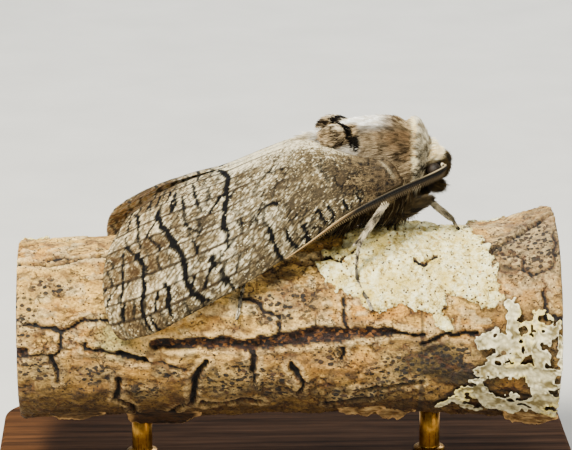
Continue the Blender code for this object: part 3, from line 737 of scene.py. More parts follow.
def wing_frame(u, v):
    """The outward direction of the right forewing, and its direction from root to margin."""
    gap = 0.004
    along = wing_middle(np.clip(u + gap, 0, 1), v) - wing_middle(np.clip(u - gap, 0, 1), v)
    down = wing_middle(u, np.clip(v + gap, 0, 1)) - wing_middle(u, np.clip(v - gap, 0, 1))
    normal = np.cross(along, down)
    normal /= np.linalg.norm(normal, axis=1)[:, None]
    normal[normal @ np.array((0.0, -0.8, 0.6)) < 0] *= -1
    return normal, along / np.linalg.norm(along, axis=1)[:, None]


def vein_distance(v, veins):
    return np.min(np.abs(v[:, None] - np.array(veins)), 1)


def wing_tones(u, v, pick):
    """The forewing's colours: cream to grey-brown scales under broken black strokes and cross lines."""
    flat = np.stack([u * WING_LENGTH, v * WING_WIDTH, 0 * u], -1)
    wander = np.stack([ripple(flat * 1.1, 5), ripple(flat * 1.1, 6)], -1) * 0.16
    fray = ripple(flat * 3.1, 7) * 0.16
    dark, halo = np.zeros_like(u), np.zeros_like(u)
    for width, strength, line in BOLD_STROKES:
        far, share = line_distance(flat[:, :2] + wander, line * (WING_LENGTH, WING_WIDTH))
        edge = width * 0.56 * (1 - 0.35 * step(0.75, 1.0, share)) + 0.03 + fray * 0.6
        dark = np.maximum(dark, strength * (1 - step(edge - 0.05, edge + 0.08, far)))
        halo = np.maximum(halo, strength * (1 - step(edge + 0.1, edge + 0.5, far)))

    # Cross lines between the veins, and a net of fine cracks over the inner half.
    cell = np.searchsorted(FORE_VEINS, v)
    nearest = vein_distance(v, FORE_VEINS) * WING_WIDTH
    line_count = np.where(u > 0.55, 25.0, 23.0)
    sway = 0.8 * ripple(np.stack([v * 9.0, cell * 3.7, 0 * u], -1), 31)
    phase = u * line_count + sway + 5.0 * hashed(cell, 0, 0, 3)
    number = np.round(phase).astype(np.int64)
    from_line = np.abs(phase - number) / line_count * WING_LENGTH
    amount = np.where(hashed(number, cell, 0, 9) > 0.26, 0.4 + 0.6 * hashed(number, cell, 0, 13), 0.0)
    amount = amount * step(0.12, 0.3, u) * (0.45 + 0.55 * step(0.5, 0.62, u))
    calm = 1 - 0.75 * (1 - step(0.08, 0.3, v)) * (1 - step(0.58, 0.68, u))
    dark = np.maximum(dark, 1.25 * calm * amount * (1 - step(0.14, 0.26, from_line + 0.6 * fray)))
    halo = np.maximum(halo, amount * (1 - step(0.2, 0.5, from_line)))
    net, beside, _ = plates(flat * (0.62, 0.5, 1.0) + wander[:, :1], 3)
    patchy = step(-0.1, 0.25, layered(flat * 0.3, 2, 19)) * band(u, 0.1, 0.2, 0.6, 0.72)
    dark = np.maximum(dark, 0.9 * calm * patchy * (1 - step(0.05, 0.13, beside - net + 0.5 * np.abs(fray))))

    cloud, grainy = layered(flat * (0.35, 0.45, 1.0), 3, 17), layered(flat * (12.0, 9.0, 1.0), 2, 23)
    warm = step(0.66, 0.9, u) * (1 - 0.4 * step(0.8, 1.0, v))
    pale = (
        0.36 + 0.42 * cloud + (0.9 - 0.4 * warm) * grainy + 0.34 * halo - 0.08 * warm
        + 0.16 * (1 - step(0.2, 0.5, nearest)) * step(0.4, 0.65, u)
        + 0.48 * (1 - step(0.0, 0.26, v)) * band(u, 0.16, 0.34, 0.6, 0.72)
        - 0.28 * step(0.3, 0.5, v) * band(u, 0.2, 0.3, 0.42, 0.52)
        - 0.3 * step(0.1, 0.3, v) * (1 - step(0.14, 0.34, u))
        + 0.34 * bump((flat[:, 0], 20.6, 1.0), (flat[:, 1], 12.6, 2.0))
        - 0.26 * step(0.7, 0.97, v) * band(u, 0.45, 0.6, 0.82, 0.96)
        - 0.18 * step(0.72, 1.0, v) * (1 - step(0.3, 0.5, u))
        - 0.2 * (1 - step(0.08, 0.3, u)) * step(0.2, 0.5, v)
        - 0.22 * bump((u, 0.68, 0.035)) * step(0.35, 0.5, v)
    )
    choice = np.clip(pale + 0.5 * (pick - 0.5), 0, 1)
    plain = over(
        mixed(GREY_SCALE, BROWN_SCALE, 0.25 + 0.75 * warm),
        (MIDDLE_SCALE, step(0.12, 0.42, choice)), (PALE_SCALE, step(0.42, 0.82, choice)))
    plain = plain * mixed(np.array((0.94, 0.93, 0.87)), np.array((0.93, 0.85, 0.71)), warm)
    root = 1 - step(0.14, 0.34, u + 0.12 * cloud + 0.08 * (1 - v))
    return over(
        plain,
        (mixed((34, 26, 17), (112, 94, 70), np.clip(grainy + pick - 0.1, 0, 1)), 0.88 * root),
        (BLACK_SCALE * 2, 0.8 * (pick > 0.9) * (0.4 + 0.6 * step(0.5, 0.8, v))),
        (BROWN_SCALE * 0.5, 0.95 * (1 - step(0.1, 0.2, nearest)) * step(0.35, 0.62, u)),
        (BLACK_SCALE, np.clip(1.15 * dark, 0, 1)),
    )


def root_tones(roots, picks, mark):
    """The dark hair over the wing's root, greyer outwards, with a pale arc across it."""
    u, v = mark("along"), mark("across")
    share = np.clip(
        0.42 + 0.6 * layered(roots * 0.7, 3, 43) + 1.3 * layered(roots * 2.4, 2, 44) + 0.7 * (picks - 0.5), 0, 1)
    arc = bump((u + 0.02 * v, 0.045, 0.008)) * band(v, 0.05, 0.3, 0.6, 0.9)
    return over(
        mixed((22, 18, 13), (108, 94, 73), share),
        (mixed((32, 26, 18), (136, 120, 92), share), step(0.1, 0.2, u + 0.06 * (1 - v))),
        ((190, 178, 152), 0.5 * arc),
    )


def hindwing_tones(u, v, picks):
    bar = layered(np.stack([u * HINDWING_LENGTH * 0.9, v * HINDWING_WIDTH * 0.35, 0 * u + 2.0], -1), 3, 61)
    plain = mixed((92, 80, 64), (158, 146, 124), np.clip(0.45 + 0.5 * bar + 0.5 * (picks - 0.5), 0, 1))
    return mixed(plain, (50, 42, 34), 0.7 * (np.abs(bar) < 0.05) * step(0.4, 0.7, u))


def wing_swell(u, v, veins, width, size, scale, seed, third):
    """How far a wing's face stands out: veins, and a low wave between them."""
    flat = np.stack([u * size[0], v * size[1], 0 * u + third], -1)
    ribs = 0.11 * np.exp(-((vein_distance(v, veins) / width) ** 2)) - 0.04
    return ribs, layered(flat * scale, 3, seed)


def sheet_shape(top, bottom, rows, columns, side=1):
    """Points and faces of a closed thin sheet between two grids of points, on the given side of the moth."""
    count = rows * columns
    faces = grid_faces(rows, columns, turned=side < 0).tolist()
    faces += grid_faces(rows, columns, start=count, turned=side > 0).tolist()
    place = np.arange(count).reshape(rows, columns)
    rim = [*place[0], *place[1:, -1], *place[-1, -2::-1], *place[-2:0:-1, 0]]
    for a, b in zip(rim, rim[1:] + rim[:1]):
        faces.append((a, b, count + b, count + a)[::-side])
    return np.vstack([top, bottom]) * (1, side, 1), faces


def wing_skin(name, side, rows, columns, top, bottom, u, v, tone, **marks):
    """A closed wing skin, with the marks on both its faces that its scales grow by."""
    skin = piece(name, *sheet_shape(top, bottom, rows, columns, side), "wing_membrane")
    marks["lie"] = marks["lie"] * (1, side, 1)
    marks = {key: np.concatenate([value, value]) for key, value in {"along": u, "across": v, **marks}.items()}
    keep(skin.data, tone=tone, **marks)
    return skin


def wing_unwrap(roots, mark):
    return np.stack([mark("along"), mark("across")], -1) * 0.98 + 0.01


def make_forewing(word, side):
    rows, columns = 170, 96
    u, v = grid(rows, columns)
    middle = wing_middle(u, v)
    normal, along = wing_frame(u, v)
    ribs, wave = wing_swell(u, v, FORE_VEINS, 0.012, (WING_LENGTH, WING_WIDTH), 0.45, 41, side * 4.0)
    edge = step(0, 0.8, np.minimum(np.minimum(v, 1 - v) * WING_WIDTH, (1 - u) * WING_LENGTH))
    half = 0.05 + 0.08 * edge
    swell = ribs * step(0.05, 0.4, u) + 0.09 * wave
    top = middle + normal * (0.02 + half + swell * edge)[:, None]
    tone = wing_tones(u, v, 0.4)
    # The underside of the skin takes the wing's tones brightened threefold: painted light that lifts the shade it lies
    # in.
    skin = wing_skin(
        "forewing_skin_" + word, side, rows, columns, top, middle - normal * half[:, None], u, v,
        np.vstack([0.8 * tone, np.minimum(3.2 * tone + 0.08, 0.9)]), reach=1 + 0.5 * step(0.985, 0.998, v), lie=along)
    keep(skin.data, growth=np.concatenate([band(u, 0.0, 0.03, 0.984, 0.992), 0 * u]))
    coat = grow(
        "forewing_scales_" + word, skin, "scale", "wing_scales",
        lambda roots, picks, mark: wing_tones(mark("along"), mark("across"), picks), wing_unwrap,
        (0.073, 0.15, 0.15, 0.25, 0.14, 0.22, 20 + side))
    rooted = step(0.0, 0.02, u) * (1 - step(0.1, 0.21, u + 0.05 * np.sin(v * 17)))
    keep(skin.data, growth=np.concatenate([rooted, 0 * u]), reach=1.0 - 0.35 * step(0.1, 0.2, np.tile(u, 2)))
    tuft = grow("wing_root_hair_" + word, skin, "hair", "body_hair", root_tones, wing_unwrap,
                (0.06, 0.85, 0.09, 0.35, 0.2, 0.18, 25 + side))
    return skin, coat, tuft


def make_hindwing(word, side):
    """The hindwing, folded under the forewing along the abdomen, with a fringe of longer scales at its outer end."""
    rows, columns = 84, 56
    along, w = grid(rows, columns)
    u = 0.28 + 0.53 * along * (1 - 0.16 * (2 * w - 1) ** 2)
    v = 0.07 + 0.7 * w * (0.42 + 0.58 * np.sin(math.pi / 2 * np.minimum(1, 1.6 * along)))
    middle = wing_middle(u, v)
    normal, lean = wing_frame(u, v)
    ribs, wave = wing_swell(along, w, HIND_VEINS, 0.018, (HINDWING_LENGTH, HINDWING_WIDTH), 0.5, 51, 9.0 * side)
    swell = ribs * step(0, 0.3, along) + 0.08 * wave
    edge = step(0, 0.6, np.minimum(
        np.minimum(w, 1 - w) * HINDWING_WIDTH, np.minimum(along, 1 - along) * HINDWING_LENGTH))
    top = middle + normal * (0.09 * edge - 0.98 - swell * edge)[:, None]
    bottom = middle - normal * (0.04 + 0.08 * edge + 0.98 + swell * edge)[:, None]
    skin = wing_skin(
        "hindwing_skin_" + word, side, rows, columns, top, bottom, along, w,
        np.tile(hindwing_tones(along, w, 0.4) * 0.85, (2, 1)),
        growth=np.ones(len(u)), reach=1 + 1.4 * step(0.96, 0.99, along), lie=lean)
    coat = grow(
        "hindwing_scales_" + word, skin, "scale", "wing_scales",
        lambda roots, picks, mark: hindwing_tones(mark("along"), mark("across"), picks), wing_unwrap,
        (0.15, 0.4, 0.26, 0.25, 0.12, 0.12, 30 + side))
    return skin, coat


# Body

# Body stations: x, middle rise, half height and half width.
THORAX_STATIONS = (
    (2.6, 17.0, 3.7, 3.0), (4.2, 17.5, 4.7, 3.7), (6.6, 18.5, 5.8, 4.3), (9.6, 18.75, 6.15, 4.65),
    (12.4, 18.8, 6.1, 4.5), (14.2, 19.0, 5.35, 4.1),
)
ABDOMEN_STATIONS = (
    (4.0, 16.9, 3.4, 3.0), (0.0, 16.0, 3.75, 3.8), (-4.0, 14.6, 3.35, 3.8), (-8.0, 13.8, 2.7, 3.3),
    (-12.0, 13.0, 1.95, 2.5), (-14.6, 12.5, 1.25, 1.6), (-16.2, 12.2, 0.5, 0.7),
)
ABDOMEN_SEGMENTS = 7
# The collar and head are rings on a slant: x, rise, slant in x per rise, half height and half width.
COLLAR_RINGS = (
    (13.6, 19.3, 0.0, 4.4, 3.9), (14.5, 19.9, 0.0, 4.6, 4.0), (14.9, 19.9, 0.05, 4.75, 4.15),
    (15.4, 19.6, 0.16, 3.9, 3.5), (15.8, 19.4, 0.28, 2.7, 2.75), (16.3, 19.2, 0.28, 1.9, 2.2),
)
HEAD_RINGS = (
    (15.6, 19.2, 0.28, 1.5, 1.8), (16.2, 19.1, 0.28, 1.6, 1.95), (17.2, 19.1, 0.15, 1.7, 2.2),
    (18.0, 19.1, 0.0, 1.6, 1.9), (18.55, 19.2, 0.0, 1.2, 1.4), (18.8, 19.3, 0.0, 0.6, 0.7),
)
# Round parts, each a path and its girths: a crest and a palp of the right side, the pale tuft behind the
# crests that closes the gap between the wings' roots, and the dark throat between collar and palps.
CREST = ((7.6, -1.6, 22.6), (6.4, -1.9, 23.05), (5.4, -2.1, 23.0), (4.2, -2.0, 22.7)), (0.7, 1.1, 1.2, 0.8)
PALP = ((16.0, -0.8, 17.6), (16.5, -0.95, 16.85), (17.3, -0.95, 16.6), (18.2, -0.85, 17.1)), (0.42, 0.46, 0.4, 0.2)
GAP_TUFT = ((4.4, 0.0, 22.2), (2.6, 0.0, 22.0), (0.6, 0.0, 21.35)), (0.9, 0.75, 0.3)
THROAT = ((14.2, 0.0, 16.3), (15.2, 0.0, 16.4), (16.1, 0.0, 17.2)), (1.5, 1.15, 0.8)
# The black line along the front of each crest, as x, y and rise.
CREST_LINE = ((5.2, -0.5, 24.4), (6.0, -1.5, 24.5), (7.0, -2.6, 24.0), (8.1, -3.5, 22.6))
EYE_RADIUS = 0.8
EYE_PLACE = (16.95, -2.0, 18.85)


def body_rings(stations, count, sides, away):
    """Rings round the body. Away gives the distance out at each x and angle, from the -Y side over the top."""
    rows = through(stations, np.linspace(0, 1, count))
    x, turn = np.meshgrid(rows[:, 0], turns(sides), indexing="ij")
    out = away(x, turn)
    wide, high = rows[:, 3, None] + out, rows[:, 2, None] + out
    return np.stack([x, -wide * np.cos(turn), BRANCH_AXIS + rows[:, 1, None] + high * np.sin(turn)], -1)


def slanted_rings(rows, sides, away):
    x, rise, slant, high, wide = through(rows, np.linspace(0, 1, 24)).T[..., None]
    turn = turns(sides)
    lift = (high + away) * np.sin(turn)
    return np.stack([x + slant * lift, -(wide + away) * np.cos(turn), BRANCH_AXIS + rise + lift], -1)


def lifted(path, side=1):
    return np.asarray(path, float) * (1, side, 1) + (0, 0, BRANCH_AXIS)


def shoulder(x, turn):
    """The share of the shoulder flap that covers the body there."""
    lean = np.abs(90 - np.degrees(turn) % 360)
    low = 64 - 10 * (1 - step(7.8, 10.5, x))
    return band(x, 7.4, 8.6, 13.7, 14.1) * band(lean, 16, 34, low, low + 9)


def thorax_away(x, turn):
    return 0.3 * shoulder(x, turn) - 0.42 - 0.22 * bump((np.degrees(turn), 90, 5)) * step(5.5, 7.5, x)


def segment_ring(x):
    """From 0 amid each ring of the abdomen to 1 at the joints between them."""
    return 0.5 + 0.5 * np.cos(TURN * ABDOMEN_SEGMENTS * ((4.0 - x) / 20.2))


def make_body_skin():
    """One skin over thorax, crests, abdomen, collar, head and palps."""
    shapes = [
        ring_shape(body_rings(THORAX_STATIONS, 60, 90, thorax_away)),
        ring_shape(body_rings(ABDOMEN_STATIONS, 90, 60, lambda x, turn: -0.3 - 0.14 * segment_ring(x) ** 3)),
        ring_shape(slanted_rings(COLLAR_RINGS, 60, -0.3)),
        ring_shape(slanted_rings(HEAD_RINGS, 48, -0.18)),
    ]
    steps = np.linspace(0, 1, 14)
    for (path, girths), side in ((GAP_TUFT, 1), (THROAT, 1), (CREST, 1), (PALP, 1), (CREST, -1), (PALP, -1)):
        shapes.append(tube(through(lifted(path, side), steps), through(girths, steps), 16))
    rough = sound(piece("body_rough", *gathered(shapes), "body_skin"))
    remesh = rough.modifiers.new("close", "REMESH")
    remesh.mode, remesh.voxel_size = "VOXEL", 0.26 * MM
    soften = rough.modifiers.new("soften", "SMOOTH")
    soften.factor, soften.iterations = 0.5, 5
    mesh = made_mesh(rough)
    bpy.data.objects.remove(rough)
    mesh.name = "body_skin"
    mesh.materials.clear()
    mesh.materials.append(FINISHES["body_skin"])
    mesh.shade_smooth()
    keep(mesh, tone=body_tones(points_of(mesh), 0.35) * 0.6)
    return placed("body_skin", mesh)


def body_turn(points):
    """The angle round the body, from the -Y side over the top."""
    stations = np.vstack([ABDOMEN_STATIONS[:0:-1], THORAX_STATIONS[1:], (18.8, 19.2, 1.2, 1.4)])
    middle = BRANCH_AXIS + np.interp(points[:, 0], stations[:, 0], stations[:, 1])
    return np.arctan2(points[:, 2] - middle, -points[:, 1])


def body_regions(points):
    """How far each part of the body holds at each point, from 0 to 1, and the point's rise."""
    x, y, z = points.T
    y, rise = np.abs(y), z - BRANCH_AXIS
    crest, _ = line_distance(np.stack([x, y, rise], -1), np.array(CREST[0]) * (1, -1, 1))
    line, _ = line_distance(np.stack([x, y, 0.3 * rise], -1), np.array(CREST_LINE) * (1, -1, 0.3))
    line_width = 0.26 + 0.05 * step(5.0, 6.8, x) - 0.06 * step(7.2, 8.2, x)
    black = (1 - step(line_width, line_width + 0.12, line)) * step(20.5, 21.2, rise)
    abdomen = 1 - step(2.4, 3.4, x + 0.05 * (rise - 17))
    head = step(15.75, 16.15, x - 0.26 * (rise - 19.4))
    collar = step(14.15, 14.45, x - 0.02 * (rise - 19.9)) * (1 - head)
    thorax = (1 - abdomen) * (1 - collar) * (1 - head)
    return dict(
        crest=(1 - step(1.3, 1.75, crest)) * thorax, black=black * thorax, by_black=1 - step(0.5, 1.3, line),
        abdomen=abdomen, head=head, collar=collar, thorax=thorax,
        chest=thorax * (1 - step(16.6, 18.2, rise - 0.16 * (x - 9))), flap=shoulder(x, body_turn(points)) * thorax,
        rise=rise,
    )


def body_tones(points, picks):
    """The colours of skin and hair all over the body, with painted shade deepening the chest."""
    x, part = points[:, 0], body_regions(points)
    rise, flap = part["rise"], part["flap"]
    cloud, streak = layered(points * (0.5, 1.1, 1.1), 3, 71), ripple(points * (0.7, 3.4, 3.4), 72)
    grit = layered(points * (2.0, 2.7, 2.7), 2, 73)
    share = np.clip(0.5 + 0.5 * cloud + 0.2 * streak + 1.1 * grit + 0.75 * (picks - 0.5), 0, 1)
    shoulder_tone = mixed(
        mixed((92, 78, 58), (208, 192, 164), share), mixed((46, 36, 25), (170, 148, 118), share),
        step(9.2, 13.4, x + 2.4 * cloud))
    tan = mixed(
        mixed((44, 34, 23), (200, 180, 148), np.clip(1.4 * share - 0.3, 0, 1)), (246, 238, 216),
        0.85 * step(23.6, 24.5, rise + 1.2 * cloud) * step(0.45, 0.8, share))
    # The chest hair is dark brown, deepened to near black as painted shade under the body; the collar's underside takes
    # this tone too.
    chest = mixed(
        mixed((16, 11, 7), (92, 76, 50), np.clip(share - 0.2, 0, 1)), (146, 134, 106), 0.8 * (picks > 0.92))
    belly = mixed(
        mixed((92, 78, 60), (176, 162, 136), np.clip(share + 0.35 * segment_ring(x) - 0.15, 0, 1)),
        mixed((150, 138, 112), (240, 232, 212), share), step(19.8, 20.4, rise) * step(-1, 0, x))
    rear = 14.42 + 0.05 * (rise - 19.9) + 0.55 * cloud + 0.14 * streak
    collar = over(
        mixed((38, 32, 22), (214, 204, 178), np.clip(1.6 * share - 0.3, 0, 1)),
        (mixed((150, 138, 112), (248, 243, 226), share), step(19.6, 22.4, rise + 1.6 * cloud)),
        (mixed((226, 186, 122), (255, 246, 212), np.clip(share + 0.2 + 0.5 * cloud, 0, 1)),
         (1 - step(rear - 0.08, rear + 0.16, x)) * step(16.8, 17.6, rise)))
    face = over(
        mixed((22, 17, 11), (96, 80, 50), np.clip(share - 0.1, 0, 1)),
        (mixed((240, 222, 180), (255, 252, 234), share), step(19.8, 20.2, rise) * band(x, 16.0, 16.4, 17.9, 18.25)),
        ((196, 182, 150), 0.8 * bump((x, 16.5, 0.35), (rise, 19.75, 0.35))))
    return over(
        mixed((74, 60, 40), (200, 184, 156), share),
        (mixed((202, 194, 178), (255, 255, 252), share),
         step(20.2, 22.4, rise + 0.6 * cloud) * (1 - step(10.8, 12.8, x))),
        (mixed((78, 62, 42), (190, 170, 138), share), 0.7 * step(10.2, 11.8, x)),
        (shoulder_tone, flap),
        ((34, 26, 18), 0.45 * band(flap, 0.05, 0.4, 0.5, 0.9) * step(8, 9, x)),
        (tan, part["crest"]),
        ((14, 11, 9), part["black"] * (0.9 + 0.1 * picks)),
        (chest, part["chest"]), (belly, part["abdomen"]),
        # The collar's underside takes the chest's tone, with its painted shade.
        (mixed(chest, collar, step(15.9, 17.3, rise)), part["collar"]), (face, part["head"]),
    )


def laid(direction, normals):
    """Directions laid flat along the surface."""
    flat = direction - normals * np.sum(direction * normals, 1)[:, None]
    return flat / np.maximum(np.linalg.norm(flat, axis=1), 1e-6)[:, None]


def body_unwrap(roots, mark):
    return np.stack([(roots[:, 0] + 17) / 38, (body_turn(roots) / TURN) % 1], -1) * 0.96 + 0.02


def body_coat(skin, name, shape, growth, reach, lie, sizes):
    """A coat of hair on the body, each hair coloured for the spot that its upper half covers."""
    def colour(roots, picks, mark):
        if name == "crest_band_hair":
            return mixed((9, 7, 6), (40, 31, 24), picks**3)
        return body_tones(roots + 0.6 * sizes[1] * mark("lie"), picks)

    keep(skin.data, growth=growth, reach=reach + 0 * growth, lie=lie)
    return grow(name, skin, shape, "body_hair", colour, body_unwrap, sizes)


def make_body_coats(skin):
    """The hair of each part, laid as it grows there."""
    points, normals = points_of(skin.data), read(skin.data.vertices, "normal")
    x, y, z = points.T
    part = body_regions(points)
    rise, side = part["rise"], np.sign(y)

    def way(*parts):
        return np.stack([0 * x + share for share in parts], -1)

    back, crest_way = laid(way(-1.0, 0.0, -0.12), normals), laid(way(-1.0, 0.3 * side, -0.1), normals)
    below = 1 - step(16.0, 17.4, rise)
    outward = way(1.3 * below - 0.9, 0.5 * y / 4, (z - BRANCH_AXIS - 19.4) / 8)
    clear = step(1.12, 1.3, np.linalg.norm(way(x, -np.abs(y), rise) - EYE_PLACE, axis=1))
    coats = (
        ("thorax_hair", "hair", part["thorax"] * (1 - part["chest"]) * (1 - part["crest"]),
         (1.0 + 0.25 * part["flap"]) * (1 - 0.5 * part["by_black"]), back,
         (0.06, 0.75, 0.085, 0.35, 0.24, 0.18, 41)),
        ("crest_hair", "long_hair", np.maximum(part["crest"], part["black"]) * part["thorax"] * (1 - part["black"]),
         1.0 - 0.45 * part["by_black"], crest_way, (0.075, 0.85, 0.1, 0.3, 0.3, 0.2, 42)),
        ("crest_band_hair", "hair", step(0.3, 0.6, part["black"]), 1.0, crest_way,
         (0.05, 0.42, 0.09, 0.3, 0.6, 0.2, 48)),
        ("chest_hair", "long_hair", part["chest"], 1.0 + 0.9 * step(9.8, 8.0, x),
         laid(way(-0.55, 0.0, -0.8), normals), (0.11, 1.9, 0.12, 0.35, 0.55, 0.4, 43)),
        ("collar_hair", "hair", part["collar"], 1.0 + 1.4 * below, laid(outward, normals),
         (0.06, 0.55, 0.08, 0.3, 0.32, 0.18, 44)),
        ("head_hair", "hair", part["head"] * clear, 1.0 + 0.5 * step(18.2, 16.8, rise),
         laid(way(0.9, 0.1 * side, 0.5 - 1.4 * (1 - step(18.6, 20.2, rise))), normals),
         (0.055, 0.6, 0.08, 0.35, 0.45, 0.3, 45)),
        ("crown_tuft", "long_hair", step(20.0, 20.5, rise) * band(x, 16.3, 16.6, 17.2, 17.5) * part["head"], 1.0,
         way(0.95, 0.12 * side, 0.16), (0.06, 1.0, 0.1, 0.2, 0.16, 0.12, 46)),
        ("abdomen_hair", "hair", part["abdomen"],
         1.0 + 0.8 * step(-13.5, -15.5, x) + 0.9 * step(-2.0, 1.0, x) * step(15.5, 14.0, rise), back,
         (0.19, 1.1, 0.2, 0.35, 0.28, 0.25, 47)),
    )
    return [body_coat(skin, *coat) for coat in coats]


def make_eye(word, side):
    polar, turn = math.pi * (np.arange(1, 40)[:, None] / 40), turns(56)
    points, faces = ring_shape(np.stack([
        np.cos(turn) * np.sin(polar), np.cos(polar) + 0 * turn, np.sin(turn) * np.sin(polar)], -1))
    points[-2:] = (0, 1, 0), (0, -1, 0)
    points = points * EYE_RADIUS + lifted(EYE_PLACE, side)
    return sound(piece("eye_facets_" + word, points, faces, "compound_eye"))


# Antennae and legs

ANTENNA_PATH = (
    (17.8, -1.4, 19.3), (18.2, -2.6, 19.35), (17.0, -4.4, 19.15), (14.7, -6.2, 18.65), (11.6, -7.8, 17.75),
    (8.3, -8.75, 16.35), (5.6, -9.3, 14.9), (2.4, -10.0, 12.7), (-0.4, -10.6, 10.9),
)
ANTENNA_SEGMENTS = 92
FEMUR_GIRTHS, TIBIA_GIRTHS, TARSUS_GIRTHS = (0.62, 0.74, 0.6, 0.36), (0.24, 0.31, 0.3, 0.22), (0.108, 0.15, 0.168)
# Each leg's only side, or 0 for both, its hip, knee and ankle by rise, its foot as (x, degrees) on the
# bark, and its spurs as a share of the shin and a side.
LEGS = {
    "front_right": (1, (12.7, -2.5, 13.9), (16.2, -3.6, 15.7), (19.2, -2.2, 12.9),
                    ((19.9, 8), (20.5, 6), (21.1, 5)), ()),
    "front_left": (-1, (12.2, -2.3, 14.2), (13.8, -5.4, 14.9), (14.0, -7.0, 12.0),
                   ((14.5, 37), (14.9, 43), (15.2, 49)), ()),
    "middle": (0, (9.0, -2.6, 14.4), (11.4, -6.3, 16.5), (8.0, -8.4, 12.1),
               ((7.7, 43), (8.0, 52), (8.7, 59), (9.4, 67)), ((0.94, 1), (0.94, -1))),
    "hind": (0, (6.2, -2.4, 14.0), (2.2, -5.8, 14.0), (-4.5, -6.6, 9.6),
             ((-5.0, 47), (-5.3, 54), (-5.6, 62), (-5.9, 70)), ((0.55, 1), (0.94, 1))),
}


def make_antenna(word, side):
    """A scaled stem from a root knob to a fine tip, pale above and dark below, and its comb plates."""
    count, sides = ANTENNA_SEGMENTS * 4, 14
    shares = np.linspace(0, 1, count)
    ring = 0.5 + 0.5 * np.cos(TURN * ANTENNA_SEGMENTS * shares)
    girth = (0.15 + 0.14 * (1 - step(0.02, 0.06, shares)) + 0.07 * step(0.04, 0.12, shares)
             - 0.15 * step(0.5, 1.0, shares)) * (1 - 0.13 * ring)
    path = through(lifted(ANTENNA_PATH, side), shares)
    stem = piece("antenna_stem_" + word, *tube(path, girth, sides), "antenna_scales")
    share, ring = np.repeat(shares, sides), np.repeat(ring, sides)
    upper = np.maximum(step(0.7, 0.95, np.sin(np.tile(turns(sides), count))), 1 - step(0.03, 0.07, share))
    pale = over(
        mixed((196, 180, 146), (60, 50, 36), ring * 0.85),
        ((58, 50, 38), 0.85 * step(0.26, 0.4, share)), ((232, 222, 198), 1 - step(0.03, 0.06, share)),
        (mixed((150, 128, 92), (214, 194, 156), ring), step(0.62, 0.76, share)))
    tone = mixed(mixed((14, 11, 8), (150, 126, 92), step(0.64, 0.8, share)), pale, upper)
    keep(stem.data, tone=np.vstack([tone, tone[:1], tone[-1:]]))
    return stem, make_combs(word, side)


def make_combs(word, side):
    """Two rows of comb plates under an antenna."""
    spline = bpy.data.curves.new("antenna_line", "CURVE")
    spline.dimensions = "3D"
    line = spline.splines.new("POLY")
    path = through(lifted(ANTENNA_PATH, side), np.linspace(0.03, 0.985, 120)) * MM
    line.points.add(len(path) - 1)
    for point, place in zip(line.points, path):
        point.co = (*place, 1.0)
    guide = placed("antenna_line", spline)
    mesh = grown_mesh(guide, TREES["combs"], {
        "Plate": SHAPES["comb"], "Count": ANTENNA_SEGMENTS, "Size": MM, "Finish": FINISHES["antenna_scales"]})
    bpy.data.objects.remove(guide)
    mesh.name = "antenna_combs_" + word
    own = points_of(SHAPES["comb"].data) * MM
    tip = np.tile(step(0.3, 0.72, np.linalg.norm(own[:, 1:], axis=1)), len(mesh.vertices) // len(own))
    along = kept(mesh, "along")
    keep(mesh, tone=mixed(
        mixed((15, 12, 9), (112, 92, 66), step(0.62, 0.84, along)),
        mixed((96, 84, 66), (150, 132, 100), step(0.5, 0.8, along)), tip * 0.8))
    mesh.shade_smooth()
    return placed(mesh.name, mesh)


def knuckle(start, end, girths, sides, count=14):
    """A closed rounded limb between two joints."""
    spots = np.linspace(-0.03, 1.03, count)
    rounded = np.sqrt(np.clip(1 - (2 * np.clip(spots, 0, 1) - 1) ** 16, 0.05, 1))
    return tube(start + spots[:, None] * (end - start), through(girths, spots) * rounded, sides)


def unit(way):
    return way / np.linalg.norm(way)


